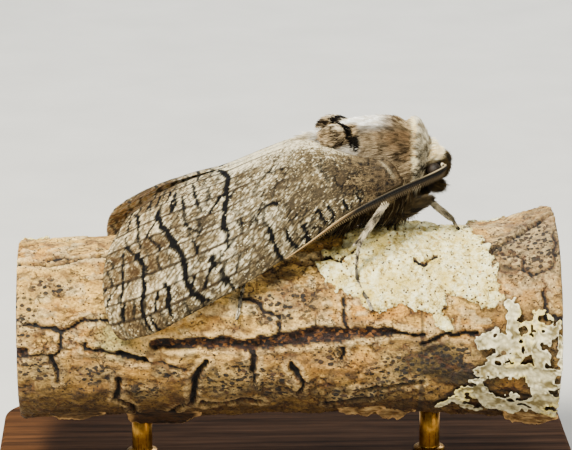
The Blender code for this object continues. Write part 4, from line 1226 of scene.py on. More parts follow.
def make_leg(word, side, hip, knee, ankle, feet, spurs):
    """A leg of numbered parts: 0 its femur, 1 its shin, 2 its five foot joints, 3 two claws and 4 its spurs."""
    hip, knee, ankle = lifted((hip, knee, ankle), side)
    foot = through([ankle, *(on_branch(*sole, 0.52) * (1, side, 1) for sole in feet)], np.linspace(0, 1, 6))
    toe, heading = foot[-1], unit(foot[-1] - foot[-2])
    down = on_branch(*feet[-1], 0.16) * (1, side, 1) - toe
    across = unit(np.cross(heading, down))
    shin = unit(ankle - knee)
    beside = unit(np.cross(shin, (0.0, 0.0, 1.0)))
    steps = np.linspace(0, 1, 6)
    parts = [(0, 0, knuckle(hip, knee, FEMUR_GIRTHS, 14)), (1, 0, knuckle(knee, ankle, TIBIA_GIRTHS, 14))]
    parts += [(2, k, knuckle(foot[k], foot[k + 1], TARSUS_GIRTHS, 10, 9)) for k in range(5)]
    for way in (1, -1):
        claw = through([
            toe, toe + heading * 0.24 + across * way * 0.12,
            toe + heading * 0.42 + across * way * 0.2 + down * 0.75], steps)
        parts.append((3, 0, tube(claw, (0.075, 0.07, 0.06, 0.045, 0.03, 0.01), 6)))
    for place, way in spurs:
        spur = knee + place * (ankle - knee) + steps[:, None] * (shin + beside * way * 0.62)
        parts.append((4, 0, tube(spur, (0.17, 0.19, 0.17, 0.13, 0.08, 0.02), 8)))
    numbers, bands, shapes = zip(*parts)
    points, faces = gathered(shapes)
    leg = piece("leg_shell_" + word, points, faces, "leg_scales")
    part, ring = (np.repeat(marks, [len(some) for some, _ in shapes]) for marks in (numbers, bands))
    limb_way = np.choose(np.minimum(part, 2)[:, None], (knee - hip, ankle - knee, toe - foot[0]))
    keep(leg.data, tone=leg_tones(points, part, ring, 0.4) * 0.85,
         lie=laid(limb_way, read(leg.data.vertices, "normal")), growth=np.where(part == 3, 0.0, 1.0),
         reach=np.choose(part, (2.2, 0.9, 0.5, 0.3, 0.5)), region=part + ring * 0.125)

    def colour(roots, picks, mark):
        region = mark("region")
        tone = leg_tones(roots, np.floor(region + 0.01), np.round((region % 1) * 8), picks)
        return tone * (0.5 if "front" in word else 1.0)

    def unwrap(roots, mark):
        x, y, z = (roots - roots.min(0)).T
        return np.stack([(x + 1.7 * y) / 34, z / 14], -1) * 0.96 + 0.02

    return leg, grow("leg_hair_" + word, leg, "hair", "body_hair", colour, unwrap,
                     (0.065, 0.5, 0.085, 0.3, 0.22, 0.18, 60 + len(word)))


def leg_tones(points, part, ring, picks):
    """Dark shaggy thighs, grey-white shins and feet ringed black and white."""
    share = np.clip(0.5 + 1.3 * layered(points * 1.7, 3, 81) + 0.8 * (picks - 0.5), 0, 1)
    thigh, shin = mixed((28, 22, 15), (128, 112, 84), share), mixed((66, 58, 44), (226, 216, 192), share)
    foot = mixed(mixed((52, 44, 34), (218, 208, 184), share), (24, 20, 16), 0.75 * ((ring % 2) == 1))
    part = part[:, None]
    tone = np.where(part == 0, thigh, np.where((part == 1) | (part == 4), shin, foot))
    return np.where(part == 3, paint(48, 30, 18), tone)


# Perch

BRANCH_LENGTH = 62.0
# Branch stations: x, rise of its centre line, radius.
BRANCH_STATIONS = (
    (-31.0, -0.35, 10.3), (-21.0, -0.15, 10.45), (-10.0, 0.0, 10.45), (3.0, 0.15, 10.6), (14.0, 0.38, 11.1),
    (21.0, 0.3, 11.0), (26.0, 0.42, 11.5), (31.0, 0.8, 12.5),
)
BRANCH_CURVE = through(BRANCH_STATIONS, np.linspace(0, 1, 400))
BRANCH_CURVE = BRANCH_CURVE[np.argsort(BRANCH_CURVE[:, 0])]
BARK_RELIEF = 0.36
UNROLLED = 10.9 * math.pi / 180
# Cracks in the bark: a width and a depth, then x and degrees from the top towards -Y along the crack.
CRACKS = table("""
0.3 0.5  -33 25 -30.4 27 -28 29 -26 29 -23.7 26 -20 25
0.35 0.3  -27.4 24 -26 23 -23.5 27
0.45 0.5  -30 71 -28.2 72 -25.9 75 -24.6 73 -23.3 69 -17 70
0.35 0.5  -25.9 75 -26 87 -27.2 90
0.9 0.6  -34 85 -32.1 86 -29.8 87.5
0.25 0.4  -33.2 90 -30.5 90.5 -27.2 90
0.35 0.5  -27.2 90 -26.7 98 -26.4 110
0.3 0.45  -23.3 83 -23.2 87 -21.2 89 -19.2 90
0.75 0.65  -19.4 90 -18.2 93 -16.4 95
0.22 0.3  -16.4 95 -14.3 98 -11.7 104
0.42 0.6  -19.7 107 -19.4 114 -19.7 125
0.3 0.5  -19.4 127 -18.2 133 -17.7 147 -16 158 -13.9 151 -12.6 138 -11.2 131
1.25 0.75  -15.4 85 -12.8 85.5 -10 85 -7.4 85 -5.3 86.5 -3.1 85.5
1.75 0.75  -3.1 85.2 0.5 83.5 2.6 81 4.6 81 6.7 81
1.1 0.7  6.7 81 9.6 79.5 11.9 80
0.7 0.65  -9.6 99 -10.2 106 -10.8 112 -10.9 123 -11.1 131
0.6 0.55  -4.2 88 -4.1 96 -3.9 104
0.25 0.4  -3.9 104 -4.1 113
0.6 0.5  -10 133 -7.4 136 -5.3 134 -3.1 133
0.34 0.45  -5.1 58 -3.4 61 -2.9 67 -1.2 69 -1 80
0.34 0.4  6.3 59 6.2 71 6.7 77
0.3 0.5  12 80 13.4 82 15.2 82.5
0.36 0.5  14.8 88 16.3 85 18 82.5 20 82 21.5 82
0.25 0.4  5.9 89 6.2 98
0.55 0.6  0.3 100 0.9 109 1.7 115 1.3 123
0.35 0.45  8.2 121 10.9 117.5 15.1 116
0.5 0.45  4.4 135 7.3 129.5 10 128
0.5 0.6  23.2 31 24 25.5 25.5 22 27.6 16 29.7 11 31.8 6
0.22 0.35  23.6 32 26 34 26.9 39 27 45 27.8 50 29.7 46 30.5 41 33 40
0.2 0.3  30.5 22 30.4 41
0.35 0.45  29 60 29.2 75 31.3 77 33 82
0.36 0.9  14.8 37 15.5 39 16.2 36 17.1 33
0.3 0.8  15.7 8 16.4 12 17.2 11 17.5 7
0.3 0.8  11.6 3 11.9 11 12.5 11 12.9 3
0.34 0.8  2.6 30 3.5 32 4.5 29 5.2 32 6 34 6.5 30 7.2 29 7.7 26
""", 2)
# The torn edge of the pale crust on the near side of the branch, as x and degrees.
CRUST_EDGE = (
    (3.2, 34), (3.8, 45), (4.6, 49), (6.1, 57), (7.8, 59), (9.2, 66), (10.7, 69), (11.7, 64), (13.6, 65),
    (15.5, 69), (16.9, 77), (17.8, 83), (18.6, 78), (17.4, 67), (18, 60), (20.3, 62), (22, 66), (23.2, 66),
    (24.5, 59), (23.6, 52), (23.8, 42), (23.2, 31), (22.2, 14), (20.6, 3), (18.2, -10), (15.1, -24), (10.9, -18),
    (8.2, 2), (6.4, 18), (4.4, 25),
)
# The leafy lichen's lobes: a width, then x and degrees along the lobe.
LEAF_LINES = table("""
1.7  25.3 66.5 25.3 75 25.5 84 25.9 96
2.2  22 86 23.3 84 24.6 89 23.6 97
2.6  28.8 77 28.7 84 28.4 92 28.8 101 29.5 112
1.3  26.9 77 26.8 86 27.2 92
1.2  27.9 73 28.6 79
1.2  30.4 78 29.6 84
1.9  21.8 105 23.8 102 25.9 103 27.9 104
2.5  20.2 122 21.7 118 23 127 24.6 133 27.1 129 29.5 123 30.9 119
1.2  17.3 133 18.8 127 20.2 135 22 139
2  30.2 110 31 106
1.9  27.9 109 28.7 121
0.8  30.6 85 30.7 92 30.9 99
1.4  23 97 22.6 103
1.5  25.5 122 25.9 137
1.2  21 112 22.4 108
1.3  28.5 133 30.9 136
""", 1)
# Patches where the bark is dotted black: x, degrees, reach in x and reach in degrees.
DOTTED = (
    (-7.1, 114, 3.2, 15), (-1.7, 116, 2.4, 15), (4.2, 96, 2.0, 8), (12.4, 106, 4.4, 14), (0.0, 64, 4.8, 13),
    (27.6, 33, 6.0, 22), (18.0, 98, 3.6, 12), (-30.6, 66, 2.8, 18), (-13.9, 104, 1.8, 7), (8.0, 124, 5.0, 8),
    (-27.0, 46, 3.0, 8), (-22.0, 104, 2.6, 8), (-28.6, 100, 3.0, 10), (-5.0, 104, 3.0, 9), (-16.5, 118, 2.4, 9),
)
# Loose flakes of bark under the near side: x, degrees, half length, reach in degrees, lift and paleness.
FLAKES = (
    (-14.6, 146, 4.4, 34, 1.9, 0.0), (8.4, 143, 2.7, 9, 0.6, 0.9), (12.4, 146, 2.2, 11, 0.8, 0.7),
    (-24.5, 148, 3.2, 8, 0.5, 0.2), (28.0, 147, 3.2, 12, 0.9, 0.8),
)


def branch_at(x, column):
    """The rise of the branch's centre, column 1, or its radius, column 2, at each x."""
    return np.interp(x, BRANCH_CURVE[:, 0], BRANCH_CURVE[:, column])


def on_bark(x, turn, out):
    """Points a distance out from the plain bark, at angles from the top towards -Y."""
    around = np.stack([x * 0.09, 1.1 * np.sin(turn), 1.1 * np.cos(turn)], -1)
    lumps = np.array([noise.noise(Vector(p) * 1.3) + 0.5 * noise.noise(Vector(p) * 3.1) for p in around])
    knot = bump((x, 21.0, 5.0), (turn % TURN, 4.2, 0.5))
    radius = branch_at(x, 2) + BARK_RELIEF * lumps + knot + out
    return np.stack([x, -radius * np.sin(turn), BRANCH_AXIS + branch_at(x, 1) + radius * np.cos(turn)], -1)


def on_branch(x, degrees, clearance):
    return on_bark(np.array([x]), np.radians([degrees]), clearance)[0]


def inside(spots, edge):
    """Whether each flat point lies within a closed line."""
    x, y = spots.T
    hits = np.zeros(len(spots), int)
    for a, b in zip(edge, np.roll(edge, -1, axis=0)):
        level = a[0] + (y - a[1]) / (b[1] - a[1] or 1e-9) * (b[0] - a[0])
        hits += ((a[1] > y) != (b[1] > y)) & (x < level)
    return hits % 2 == 1


def crust_cover(x, degrees, points):
    """How far inside the lichen crust each point is, from 0 well outside to 1 well inside."""
    spots, edge = np.stack([x, degrees * UNROLLED], -1), np.array(CRUST_EDGE) * (1, UNROLLED)
    far, _ = line_distance(spots, np.vstack([edge, edge[:1]]))
    depth = np.where(inside(spots, edge), far, -far) + 0.5 * ripple(points * 1.5, 91) + 0.26 * ripple(points * 3.6, 92)
    hidden = band(degrees % 360, 185, 215, 325, 345)
    patches = layered(points * (0.13, 0.2, 0.2), 3, 93) - 0.21
    return np.maximum(step(-0.5, 0.5, depth), hidden * step(-0.06, 0.06, patches))


def bark_surface(x, turn):
    """The height of the bark's own relief, its colour with painted shade and painted light laid into it, and how far
    lichen, dots and wide furrows cover it.
    """
    degrees = np.degrees(turn)
    degrees = np.where(degrees > 205, degrees - 360, degrees)
    plain = on_bark(x, turn, 0.0)
    spots = np.stack([x, degrees * UNROLLED], -1)

    def varied(scale, octaves, seed):
        return layered(plain * scale, octaves, seed)

    wander = np.stack([ripple(plain * 0.9, 95), ripple(plain * 0.9, 96)], -1) * 0.3
    fray = 0.12 * ripple(plain * 3.4, 97)
    seen = band(degrees, -32, -22, 152, 172)
    groove, swollen, broad = np.zeros((3, len(x)))
    for width, depth, line in CRACKS:
        far, share = line_distance(spots + wander, line * (1, UNROLLED))
        half = width / 2 * (0.75 + 0.25 * np.sin(math.pi * share)) + fray
        groove = np.maximum(groove, depth * (1 - step(half - 0.05, half + 0.16, far)))
        swollen = np.maximum(swollen, depth * bump((far - half, 0.5, 0.32)))
        if width > 0.85:
            broad = np.maximum(broad, 1 - step(half - 0.1, half + 0.06, far))

    # Scales and a fine craze split the bark, and crust and leafy lichen stand on it.
    bent = np.stack([varied(0.22, 3, seed) for seed in (98, 112, 113)], -1)
    nearest, second, number = plates(plain * (0.085, 0.26, 0.26) + 0.9 * bent, 5)
    split = (1 - step(0.0, 0.065 + 0.04 * bent[:, 0], second - nearest)) * step(-0.12, 0.1, bent[:, 1] + 0.05)
    one, other, tile = plates(plain * (0.3, 0.42, 0.42) + 0.3 * varied(0.5, 3, 107)[:, None], 9)
    craze = (1 - step(0.0, 0.06, other - one)) * step(-0.05, 0.2, varied(0.16, 2, 108))
    groove = np.maximum(np.maximum(groove, (0.55 - 0.47 * seen) * split), 0.26 * craze)
    scab = step(0.02, 0.07, varied((0.5, 0.85, 0.85), 3, 115) - 0.12)
    lumps = (
        0.24 * varied(0.33, 3, 99) + 0.2 * varied((1.1, 1.7, 1.7), 3, 100) + 0.13 * scab
        + 0.16 * (number - 0.5) * (1 - seen) + 0.14 * (tile - 0.5) * (1 - craze) + 0.2 * swollen
    )
    cover = crust_cover(x, degrees, plain)
    crusted = step(0.42, 0.56, cover)
    leaf, leaf_next, leaf_number = plates(plain * (0.42, 0.5, 0.5) + 0.4 * varied(0.6, 2, 110)[:, None], 10)
    crust = (
        0.4 * crusted * (1 + 0.6 * varied(0.9, 3, 101))
        - 0.18 * step(0.45, 0.6, cover) * (1 - step(0.12, 0.3, plates(plain * 0.85, 8)[0]))
        + 0.16 * crusted * (leaf_number - 0.5 - (leaf_number > 0.45) * (1 - step(0.02, 0.1, leaf_next - leaf)))
    )
    cluster = step(0.06, 0.3, varied((0.16, 0.28, 0.28), 2, 102)) * (1 - 0.8 * seen)
    ragged = 0.5 * varied(0.5, 2, 111)
    for patch_x, patch_turn, wide, high in DOTTED:
        far = ((x - patch_x) / wide) ** 2 + ((degrees - patch_turn) / high) ** 2
        cluster = np.maximum(cluster, 1 - step(0.3, 1.5, far + ragged))
    height = lumps + crust * (1 - 0.7 * step(0.1, 0.5, groove)) - groove * (1 - 0.5 * step(0.4, 0.6, cover))

    # Cream bark turns orange and brown below, with stains, scabs and green growth, and dark bark round the leafy
    # lichen, partly painted shade under its lobes.
    cloud, fine = varied((0.2, 0.32, 0.32), 4, 103), varied((1.1, 1.9, 1.9), 3, 104)
    share = np.clip(0.52 + 0.55 * cloud + 0.4 * fine, 0, 1)
    cream, brown = mixed((144, 98, 38), (252, 214, 136), share), mixed((46, 31, 12), (164, 130, 74), share)
    to_orange = step(-0.12, 0.3, varied((0.09, 0.16, 0.16), 3, 105) + 0.2 * step(60, 110, degrees) - 0.06)
    stain = step(0.08, 0.3, varied((0.4, 0.55, 0.55), 4, 114)) * seen
    under = leaf_field(spots, LEAF_LINES, 120) * step(15, 17, x) - 9 * (x < 15)
    algae = bump((x, 17.3, 5.2), (degrees, 100, 19)) + 0.9 * cloud + 0.5 * fine
    tone = over(
        cream, (mixed((130, 78, 26), (236, 178, 90), share), 0.75 * to_orange),
        (brown, 0.9 * step(92, 140, degrees + 34 * cloud)),
        # Pale lips along the cracks: partly the bark's own pale, partly painted light on the raised lips.
        ((238, 210, 158), 0.5 * step(0.08, 0.45, swollen) * (1 - step(0.05, 0.12, groove))),
        ((82, 52, 22), 0.7 * step(0.06, 0.4, varied((0.7, 1.3, 1.3), 3, 109))),
        ((84, 58, 28), 0.66 * stain * step(-26, -16, x)),
        (mixed((196, 164, 112), (255, 236, 190), share), 0.5 * scab * step(100, 80, degrees)),
        (mixed((112, 92, 74), (214, 198, 176), share), 0.75 * bump((x, 28.5, 4.5), (degrees, 30, 26))),
        # Dark bark around and under the lichen's lobes, partly its own dark and partly painted shade under them.
        ((36, 23, 12), 0.8 * step(-0.75, 0.0, under)),
        (brown, 0.45 * step(24, 29, x + 4 * cloud)),
        (mixed(brown, cream, 0.4), 1 - seen),
        (mixed(brown, (212, 194, 148), 0.5 + 0.6 * fine), 0.45 * cluster),
        (mixed((18, 14, 5), (108, 90, 48), 0.4 + 1.6 * fine), 0.92 * step(0.3, 0.8, algae)),
    )
    # Painted shade: the bark is darkened towards its underside, and a little on its near side at the left end.
    painted_shade_and_darkening = 0.3 * step(84, 138, degrees + 30 * cloud) + 0.16 * step(-18, -25, x) * step(76, 98, degrees)
    # The cracks' colour: dark inner bark, deepened towards black as painted shade in their depths.
    broken = np.clip(0.3 + 1.3 * varied((1.2, 3.0, 3.0), 3, 106), 0, 1) ** 1.6
    deep = mixed((7, 4, 2), (92, 52, 24), broken * (0.15 + 0.85 * np.maximum(broad, 1 - seen)))
    tone = over(
        tone * (1 - painted_shade_and_darkening)[:, None],
        ((164, 166, 116), 0.7 * bump((x, -20.3, 2.2), (degrees, 80, 12))),
        # A painted shadow line on the bark at and just outside the crust's edge.
        ((74, 46, 24), 0.65 * band(cover, 0.04, 0.4, 0.4, 0.5)),
        # The cracks are painted dark, partly their own inner bark and partly painted shade.
        ((96, 54, 24), 0.75 * band(groove, 0.01, 0.1, 0.12, 0.3)), (deep, step(0.12, 0.28, groove)),
    )
    wide = broad * step(0.2, 0.4, groove) * (1 - step(0.3, 0.5, cover))
    return height, tone, cover * (1 - step(0.3, 0.5, groove)), cluster * (1 - step(0.05, 0.2, groove)), wide


def make_bark():
    """The bark of the branch, closed at both ends behind the sawn faces."""
    rows, columns = 300, 290
    x, turn = (values.ravel() for values in np.meshgrid(
        BRANCH_LENGTH * np.linspace(-0.5, 0.5, rows), turns(columns), indexing="ij"))
    height, tone, *marks = bark_surface(x, turn)
    ends = step(0.0, 0.35, BRANCH_LENGTH / 2 - np.abs(x))
    rings = on_bark(x, turn, height - 0.25 * (1 - ends)).reshape(rows, columns, 3)
    first, last = (
        rings[end].mean(0) + (rings[end] - rings[end].mean(0)) * 0.9 - (way * 0.12, 0, 0)
        for end, way in ((0, -1), (-1, 1)))
    bark = sound(piece("perch_bark", *ring_shape([first, *rings, last]), "bark"))
    edge = np.tile(paint(92, 60, 36), (columns, 1))
    keep(bark.data, tone=np.vstack([edge, tone, edge, edge[:2]]), **{
        name: np.concatenate([np.zeros(columns), mark, np.zeros(columns + 2)])
        for name, mark in zip(("cover", "dotted", "furrow"), marks)})
    return bark


def make_sawn_end(word, way):
    """A sawn face, a little rough, set inside the ring of bark."""
    x = way * BRANCH_LENGTH / 2
    rim = on_bark(np.full(120, x), turns(120), -0.85)
    middle = rim.mean(0)
    face, back = (middle + (rim - middle) * np.array(shares)[:, None, None]
                  for shares in (np.linspace(0.02, 1, 34), (1.0, 0.5, 0.02)))
    face[..., 0] = x - way * 0.04 + 0.07 * layered(face * (1, 1.2, 1.2), 3, 111)
    back[..., 0] = x - way
    return sound(piece("sawn_end_" + word, *ring_shape(np.concatenate([face, back])), "sawn_end"))


def leaf_field(spots, lines, seed):
    """How far inside a leafy lichen each unrolled spot lies, with scalloped edges and holes."""
    field = np.full(len(spots), -9.0)
    for width, line in lines:
        field = np.maximum(field, width / 2 - line_distance(spots, np.array(line) * (1, UNROLLED))[0])
    flat = np.insert(spots, 2, 0.5, axis=1)
    (scallop, _, _), (frill, _, _), (hole, _, which) = (
        plates(flat * (wide, high, 1.0), seed + more)
        for wide, high, more in ((1.15, 1.15, 0), (2.3, 2.3, 8), (0.66, 0.8, 2)))
    field = field + 0.06 + 0.9 * (0.36 - scallop) + 0.45 * (0.34 - frill) + 0.12 * ripple(flat * 3.4, seed + 1)
    holes = (hole - 0.22 - 0.14 * which) * 1.4 + 0.24 * ripple(flat * 2.2, seed + 6)
    return np.minimum(field, np.where(which > 0.3, holes, 9.0))


def leaf_sheet(x_span, degree_span, lines, seed):
    """A closed thin sheet of leafy lichen, cut out along the field's edge and lifted there."""
    cell = 0.125
    columns = int((x_span[1] - x_span[0]) / cell)
    rows = int((degree_span[1] - degree_span[0]) * UNROLLED / cell)
    spots = np.stack([values.ravel() for values in np.meshgrid(
        np.linspace(*x_span, columns), np.linspace(*np.array(degree_span) * UNROLLED, rows), indexing="ij")], -1)
    field = leaf_field(spots, lines, seed)
    slope = np.stack([(leaf_field(spots + way, lines, seed) - field) / 0.03 for way in ((0.03, 0.0), (0.0, 0.03))], -1)
    quads = grid_faces(columns, rows)
    quads = quads[field[quads].mean(1) > 0]
    sides = np.concatenate([quads[:, [k, (k + 1) % 4]] for k in range(4)]).tolist()
    seen = {tuple(edge) for edge in sides}
    border = [edge for edge in sides if (edge[1], edge[0]) not in seen]
    on_border = np.zeros(len(spots), bool)
    on_border[np.ravel(border)] = True
    shift = -slope * (field / np.maximum((slope**2).sum(1), 0.2))[:, None]
    spots = spots + np.clip(shift, -0.6 * cell, 0.6 * cell) * on_border[:, None]
    x, turn, flat = spots[:, 0], np.radians(spots[:, 1] / UNROLLED), np.insert(spots, 2, 0.0, axis=1)
    edge = 1 - step(0.0, 0.45, field)
    out = 0.34 + 0.24 * layered(flat * 0.4, 2, seed + 4) + 0.06 * layered(flat * 1.8, 2, seed + 5)
    out += edge * (0.26 + 0.3 * layered(flat * 0.7, 2, seed + 7))
    top, low = on_bark(x, turn, out), on_bark(x, turn, out - np.where(on_border, 0.12, 0.17))
    count = len(spots)
    faces = quads.tolist() + (quads[:, ::-1] + count).tolist()
    faces += [(b, a, a + count, b + count) for a, b in border]
    used = np.unique(quads)
    used = np.concatenate([used, used + count])
    place = np.zeros(2 * count, int)
    place[used] = np.arange(len(used))
    shade = np.concatenate([edge, np.full(count, -1.0)])[used]
    return np.vstack([top, low])[used], [tuple(place[list(face)]) for face in faces], shade


def make_lichen():
    """The leafy lichen on the near side, and two smaller growths of it on the far side."""
    draw = np.random.default_rng(12)
    sheets = [leaf_sheet((16.5, BRANCH_LENGTH / 2 - 0.1), (60, 146), LEAF_LINES, 120)]
    for seed, (x, degrees) in enumerate(((-23.5, 238), (7.5, 232)), 130):
        lines = []
        for k in range(9):
            way = 6.28 * k / 9 + draw.uniform(-0.25, 0.25)
            bend = way + draw.uniform(-0.7, 0.7)
            reach = draw.uniform(1.3, 2.1)
            middle = (x + reach * math.cos(way), degrees + reach * math.sin(way) / UNROLLED)
            tip = (middle[0] + reach * math.cos(bend), middle[1] + reach * math.sin(bend) / UNROLLED)
            lines.append((draw.uniform(0.8, 1.5), ((x, degrees), middle, tip)))
        sheets.append(leaf_sheet((x - 5, x + 5), (degrees - 27, degrees + 27), lines, seed))
    points, faces = gathered(sheet[:2] for sheet in sheets)
    lichen = sound(piece("leafy_lichen", points, faces, "lichen"))
    edge = np.concatenate([sheet[2] for sheet in sheets])
    cloud, fine = layered(points * (0.7, 1.0, 1.0), 3, 121), ripple(points * 4.0, 122)
    keep(lichen.data, tone=over(
        mixed((132, 120, 84), (222, 214, 180), np.clip(0.5 + 1.3 * cloud + 0.4 * fine, 0, 1)),
        ((244, 238, 208), 0.55 * step(0.3, 0.9, edge + 0.4 * fine)),
        ((226, 206, 106), 0.6 * step(0.3, 0.9, edge) * step(0.1, 0.3, layered(points * 0.3, 2, 123))),
        ((92, 74, 42), 0.3 * step(0.28, 0.5, cloud) * (edge < 0.3)), ((60, 44, 26), (edge < 0) * 0.9)))
    return lichen


def make_bark_flakes():
    """The loose flakes of bark, the largest a dark dome with a pale rim."""
    rows, columns = 30, 36
    s, t = grid(rows, columns)
    along = 2 * t - 1
    shapes, tones = [], []
    for place, start, half, degrees, lift, paleness in FLAKES:
        x = place + half * along * (1 - 0.25 * s**2) + 0.3 * np.sin(5 * s)
        torn = 0.34 * layered(np.stack([x, 0 * s, 0 * s], -1) * 1.7, 3, 133)
        reach = s * (1 - 0.5 * np.abs(along) ** 4 + torn)
        wave = 0.16 * layered(np.stack([x, 9 * s, 0 * s], -1) * 0.8, 3, 131)
        turn = np.radians(start + degrees * reach)
        out = -0.1 + lift * np.maximum(reach, 0) ** 1.3 + wave
        thick = 0.1 * lift + 0.2 - 0.12 * lift * s
        top, low = on_bark(x, turn, out + thick / 2), on_bark(x, turn, out - thick / 2)
        shapes.append(sheet_shape(top, low, rows, columns))
        rim = step(0.78, 0.95, np.maximum(s, np.abs(along)) + 0.1 * wave)
        share = np.clip(0.4 + 2 * wave + layered(top * (1.2, 3.0, 3.0), 3, 132), 0, 1)
        plain = mixed(mixed((26, 17, 11), (104, 78, 50), share), mixed((120, 88, 48), (214, 186, 136), share), paleness)
        tones += [mixed(plain, (206, 172, 122), rim), mixed((36, 22, 14), (150, 110, 70), rim)]
    flakes = sound(piece("bark_flakes", *gathered(shapes), "flap"))
    keep(flakes.data, tone=np.vstack(tones))
    return flakes


# Stand, light and camera

BASE_LENGTH, BASE_WIDTH, BASE_CORNER = 68.0, 38.0, 5.0
ROD_RADIUS, ROD_SPREAD = 1.2, 17.0
CAMERA_AZIMUTH, CAMERA_ELEVATION, CAMERA_DISTANCE = -2.0, 16.0, 350.0
CAMERA_AIM = (0.0, 0.0, 30.83)
FRAME_WIDTH = 66.35


def make_base():
    """The stand's base: a plate with round corners and softly rounded edges."""
    profile = [(0.35, 0.0), (0.0, 0.3)]
    profile += [(0.6 * (1 - math.cos(a)), 3.0 - 0.6 * (1 - math.sin(a))) for a in np.linspace(0, math.pi / 2, 8)]
    profile += [(k, 3.0) for k in (3.0, 8.0, 13.0, 17.0)]
    turn = math.pi / 2 * (np.arange(4)[:, None] + np.arange(17) / 16).ravel()
    sx, sy = np.repeat(((1, -1, -1, 1), (1, 1, -1, -1)), 17, axis=1)
    rings = []
    for inset, height in profile:
        corner, hold = max(BASE_CORNER - inset, 0.0), max(inset, BASE_CORNER)
        rings.append(np.stack([
            sx * (BASE_LENGTH / 2 - hold) + corner * np.cos(turn),
            sy * (BASE_WIDTH / 2 - hold) + corner * np.sin(turn), height + 0 * turn], -1))
    return sound(piece("stand_base_plate", *ring_shape(rings), "stand_wood"), merged=True)


def make_rod(word, x):
    """A brass rod from a low round collar on the base up into the branch."""
    reach = BRANCH_AXIS + branch_at(x, 1) - 9.2
    profile = (
        (0.02, 3.02), (1.75, 3.02), (1.85, 3.12), (1.85, 3.32), (1.7, 3.45), (1.32, 3.5), (1.22, 3.58),
        (ROD_RADIUS, 3.7), (ROD_RADIUS, 5.0), (ROD_RADIUS, reach), (0.02, reach),
    )
    turn = turns(56)
    rings = [np.stack([x + r * np.cos(turn), r * np.sin(turn), h + 0 * turn], -1) for r, h in profile]
    return sound(piece("stand_brass_rod_" + word, *ring_shape(rings), "rod_brass"))


def make_floor():
    x, y = (1400 * (2 * share - 1) for share in grid(21, 21))
    floor = piece("floor", np.stack([x, y + 120, 0 * x - 0.05], -1), grid_faces(21, 21), floor_finish())


def make_lights():
    world = bpy.data.worlds.new("studio")
    bpy.context.scene.world = world
    world.use_nodes = True
    sky = world.node_tree.nodes["Background"]
    sky.inputs["Color"].default_value = (*paint(222, 224, 222), 1.0)
    sky.inputs["Strength"].default_value = 0.32
    for name, place, size, power, tone in (
        ("key", (-0.2, -0.26, 0.46), 0.2, 10.2, (255, 252, 244)),
        ("fill", (0.36, -0.3, 0.2), 0.35, 1.0, (255, 248, 238)),
        ("rim", (0.1, 0.36, 0.34), 0.3, 2.6, (246, 250, 255)),
    ):
        light = bpy.data.lights.new(name, "AREA")
        light.size, light.energy, light.color = size, power, tuple(paint(*tone))
        lamp = placed(name, light)
        lamp.location = place
        lamp.rotation_euler = (Vector((0, 0, 0.03)) - Vector(place)).to_track_quat("-Z", "Y").to_euler()


def make_camera():
    lens = bpy.data.cameras.new("camera")
    camera = bpy.context.scene.camera = placed("camera", lens)
    a, e = math.radians(CAMERA_AZIMUTH), math.radians(CAMERA_ELEVATION)
    away = Vector((math.sin(a) * math.cos(e), -math.cos(a) * math.cos(e), math.sin(e)))
    camera.location = (Vector(CAMERA_AIM) + away * CAMERA_DISTANCE) * MM
    camera.rotation_euler = away.to_track_quat("Z", "Y").to_euler()
    lens.sensor_width, lens.lens = 36.0, 36.0 * CAMERA_DISTANCE / FRAME_WIDTH
    lens.clip_start, lens.clip_end = 0.01, 10.0


# Making


def carry(obj, slot, *nodes):
    """Hands a piece over, without the marks that its coats grew by."""
    forget(obj.data, *MARKS)
    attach(obj, "root")
    if nodes:
        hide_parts(*nodes)


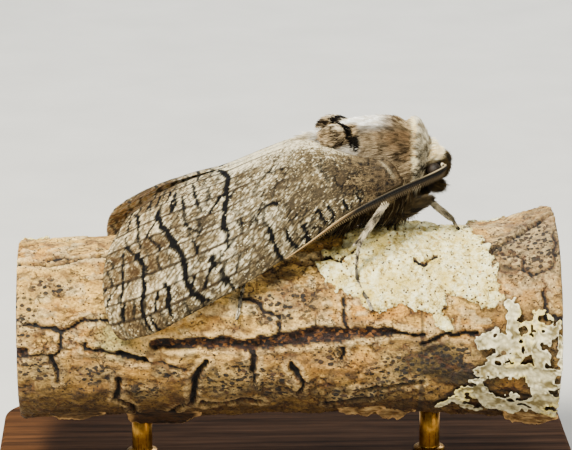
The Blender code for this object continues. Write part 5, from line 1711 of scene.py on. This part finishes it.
SHAPES = make_shapes()
TREES = {"growth": growth_tree(), "combs": comb_tree()}
FINISHES |= {
    "wing_membrane": toned_finish("wing_membrane", 0.8, 3.6, 0.05, specular=0.1),
    "wing_scales": toned_finish("wing_scales", 0.7, 7.0, 0.02, 0.3, 0.12),
    "body_skin": toned_finish("body_skin", 0.9, 3.0, 0.06, specular=0.1),
    "body_hair": toned_finish("body_hair", 0.7, 2.2, 0.02, 0.25, 0.14),
    "antenna_scales": toned_finish("antenna_scales", 0.6, 5.0, 0.03, 0.25, 0.15),
    "leg_scales": toned_finish("leg_scales", 0.7, 4.0, 0.04, specular=0.15),
    "compound_eye": eye_finish(),
    "bark": bark_finish(),
    "flap": toned_finish("loose_bark", 0.85, 2.4, 0.12, 0.4),
    "lichen": toned_finish("lichen", 0.9, 2.6, 0.1, 0.25),
    "sawn_end": sawn_finish(),
    "stand_wood": wood_finish(),
    "rod_brass": brass_finish(),
}


def make_all():
    make_camera()
    make_lights()
    make_floor()
    carry(make_bark(), "bark", "perch_branch")
    for word, way in (("left", -1), ("right", 1)):
        carry(make_sawn_end(word, way), "bark")
    carry(make_lichen(), "bark")
    carry(make_bark_flakes(), "bark")
    carry(make_base(), "stand_wood", "stand_base")
    carry(make_rod("rear", -ROD_SPREAD), "rod_brass", "stand_rod_rear")
    carry(make_rod("front", ROD_SPREAD), "rod_brass", "stand_rod_front")
    skin = make_body_skin()
    for coat in make_body_coats(skin):
        carry(coat, "abdomen_hair" if "abdomen" in coat.name else "thorax_hair")
    carry(skin, "thorax_hair", "thorax", "abdomen", "collar", "head", "palp_left", "palp_right",
          "tegula_left", "tegula_right")
    for word, side in (("right", 1), ("left", -1)):
        wing, *coats = make_forewing(word, side)
        carry(wing, "wing_scales", "forewing_" + word)
        for coat in coats:
            carry(coat, "wing_scales")
        hindwing, scales = make_hindwing(word, side)
        carry(hindwing, "hindwing_scales", "hindwing_" + word)
        carry(scales, "hindwing_scales")
        carry(make_eye(word, side), "eye", "eye_" + word)
        stem, combs = make_antenna(word, side)
        carry(stem, "antenna", "antenna_" + word)
        carry(combs, "antenna")
        for pair, (only, *shape) in LEGS.items():
            if only in (0, side):
                name = pair if only else pair + "_" + word
                leg, hair = make_leg(name, side, *shape)
                carry(leg, "leg", "leg_" + name)
                carry(hair, "leg")
    for shape in SHAPES.values():
        bpy.data.objects.remove(shape)


make_all()
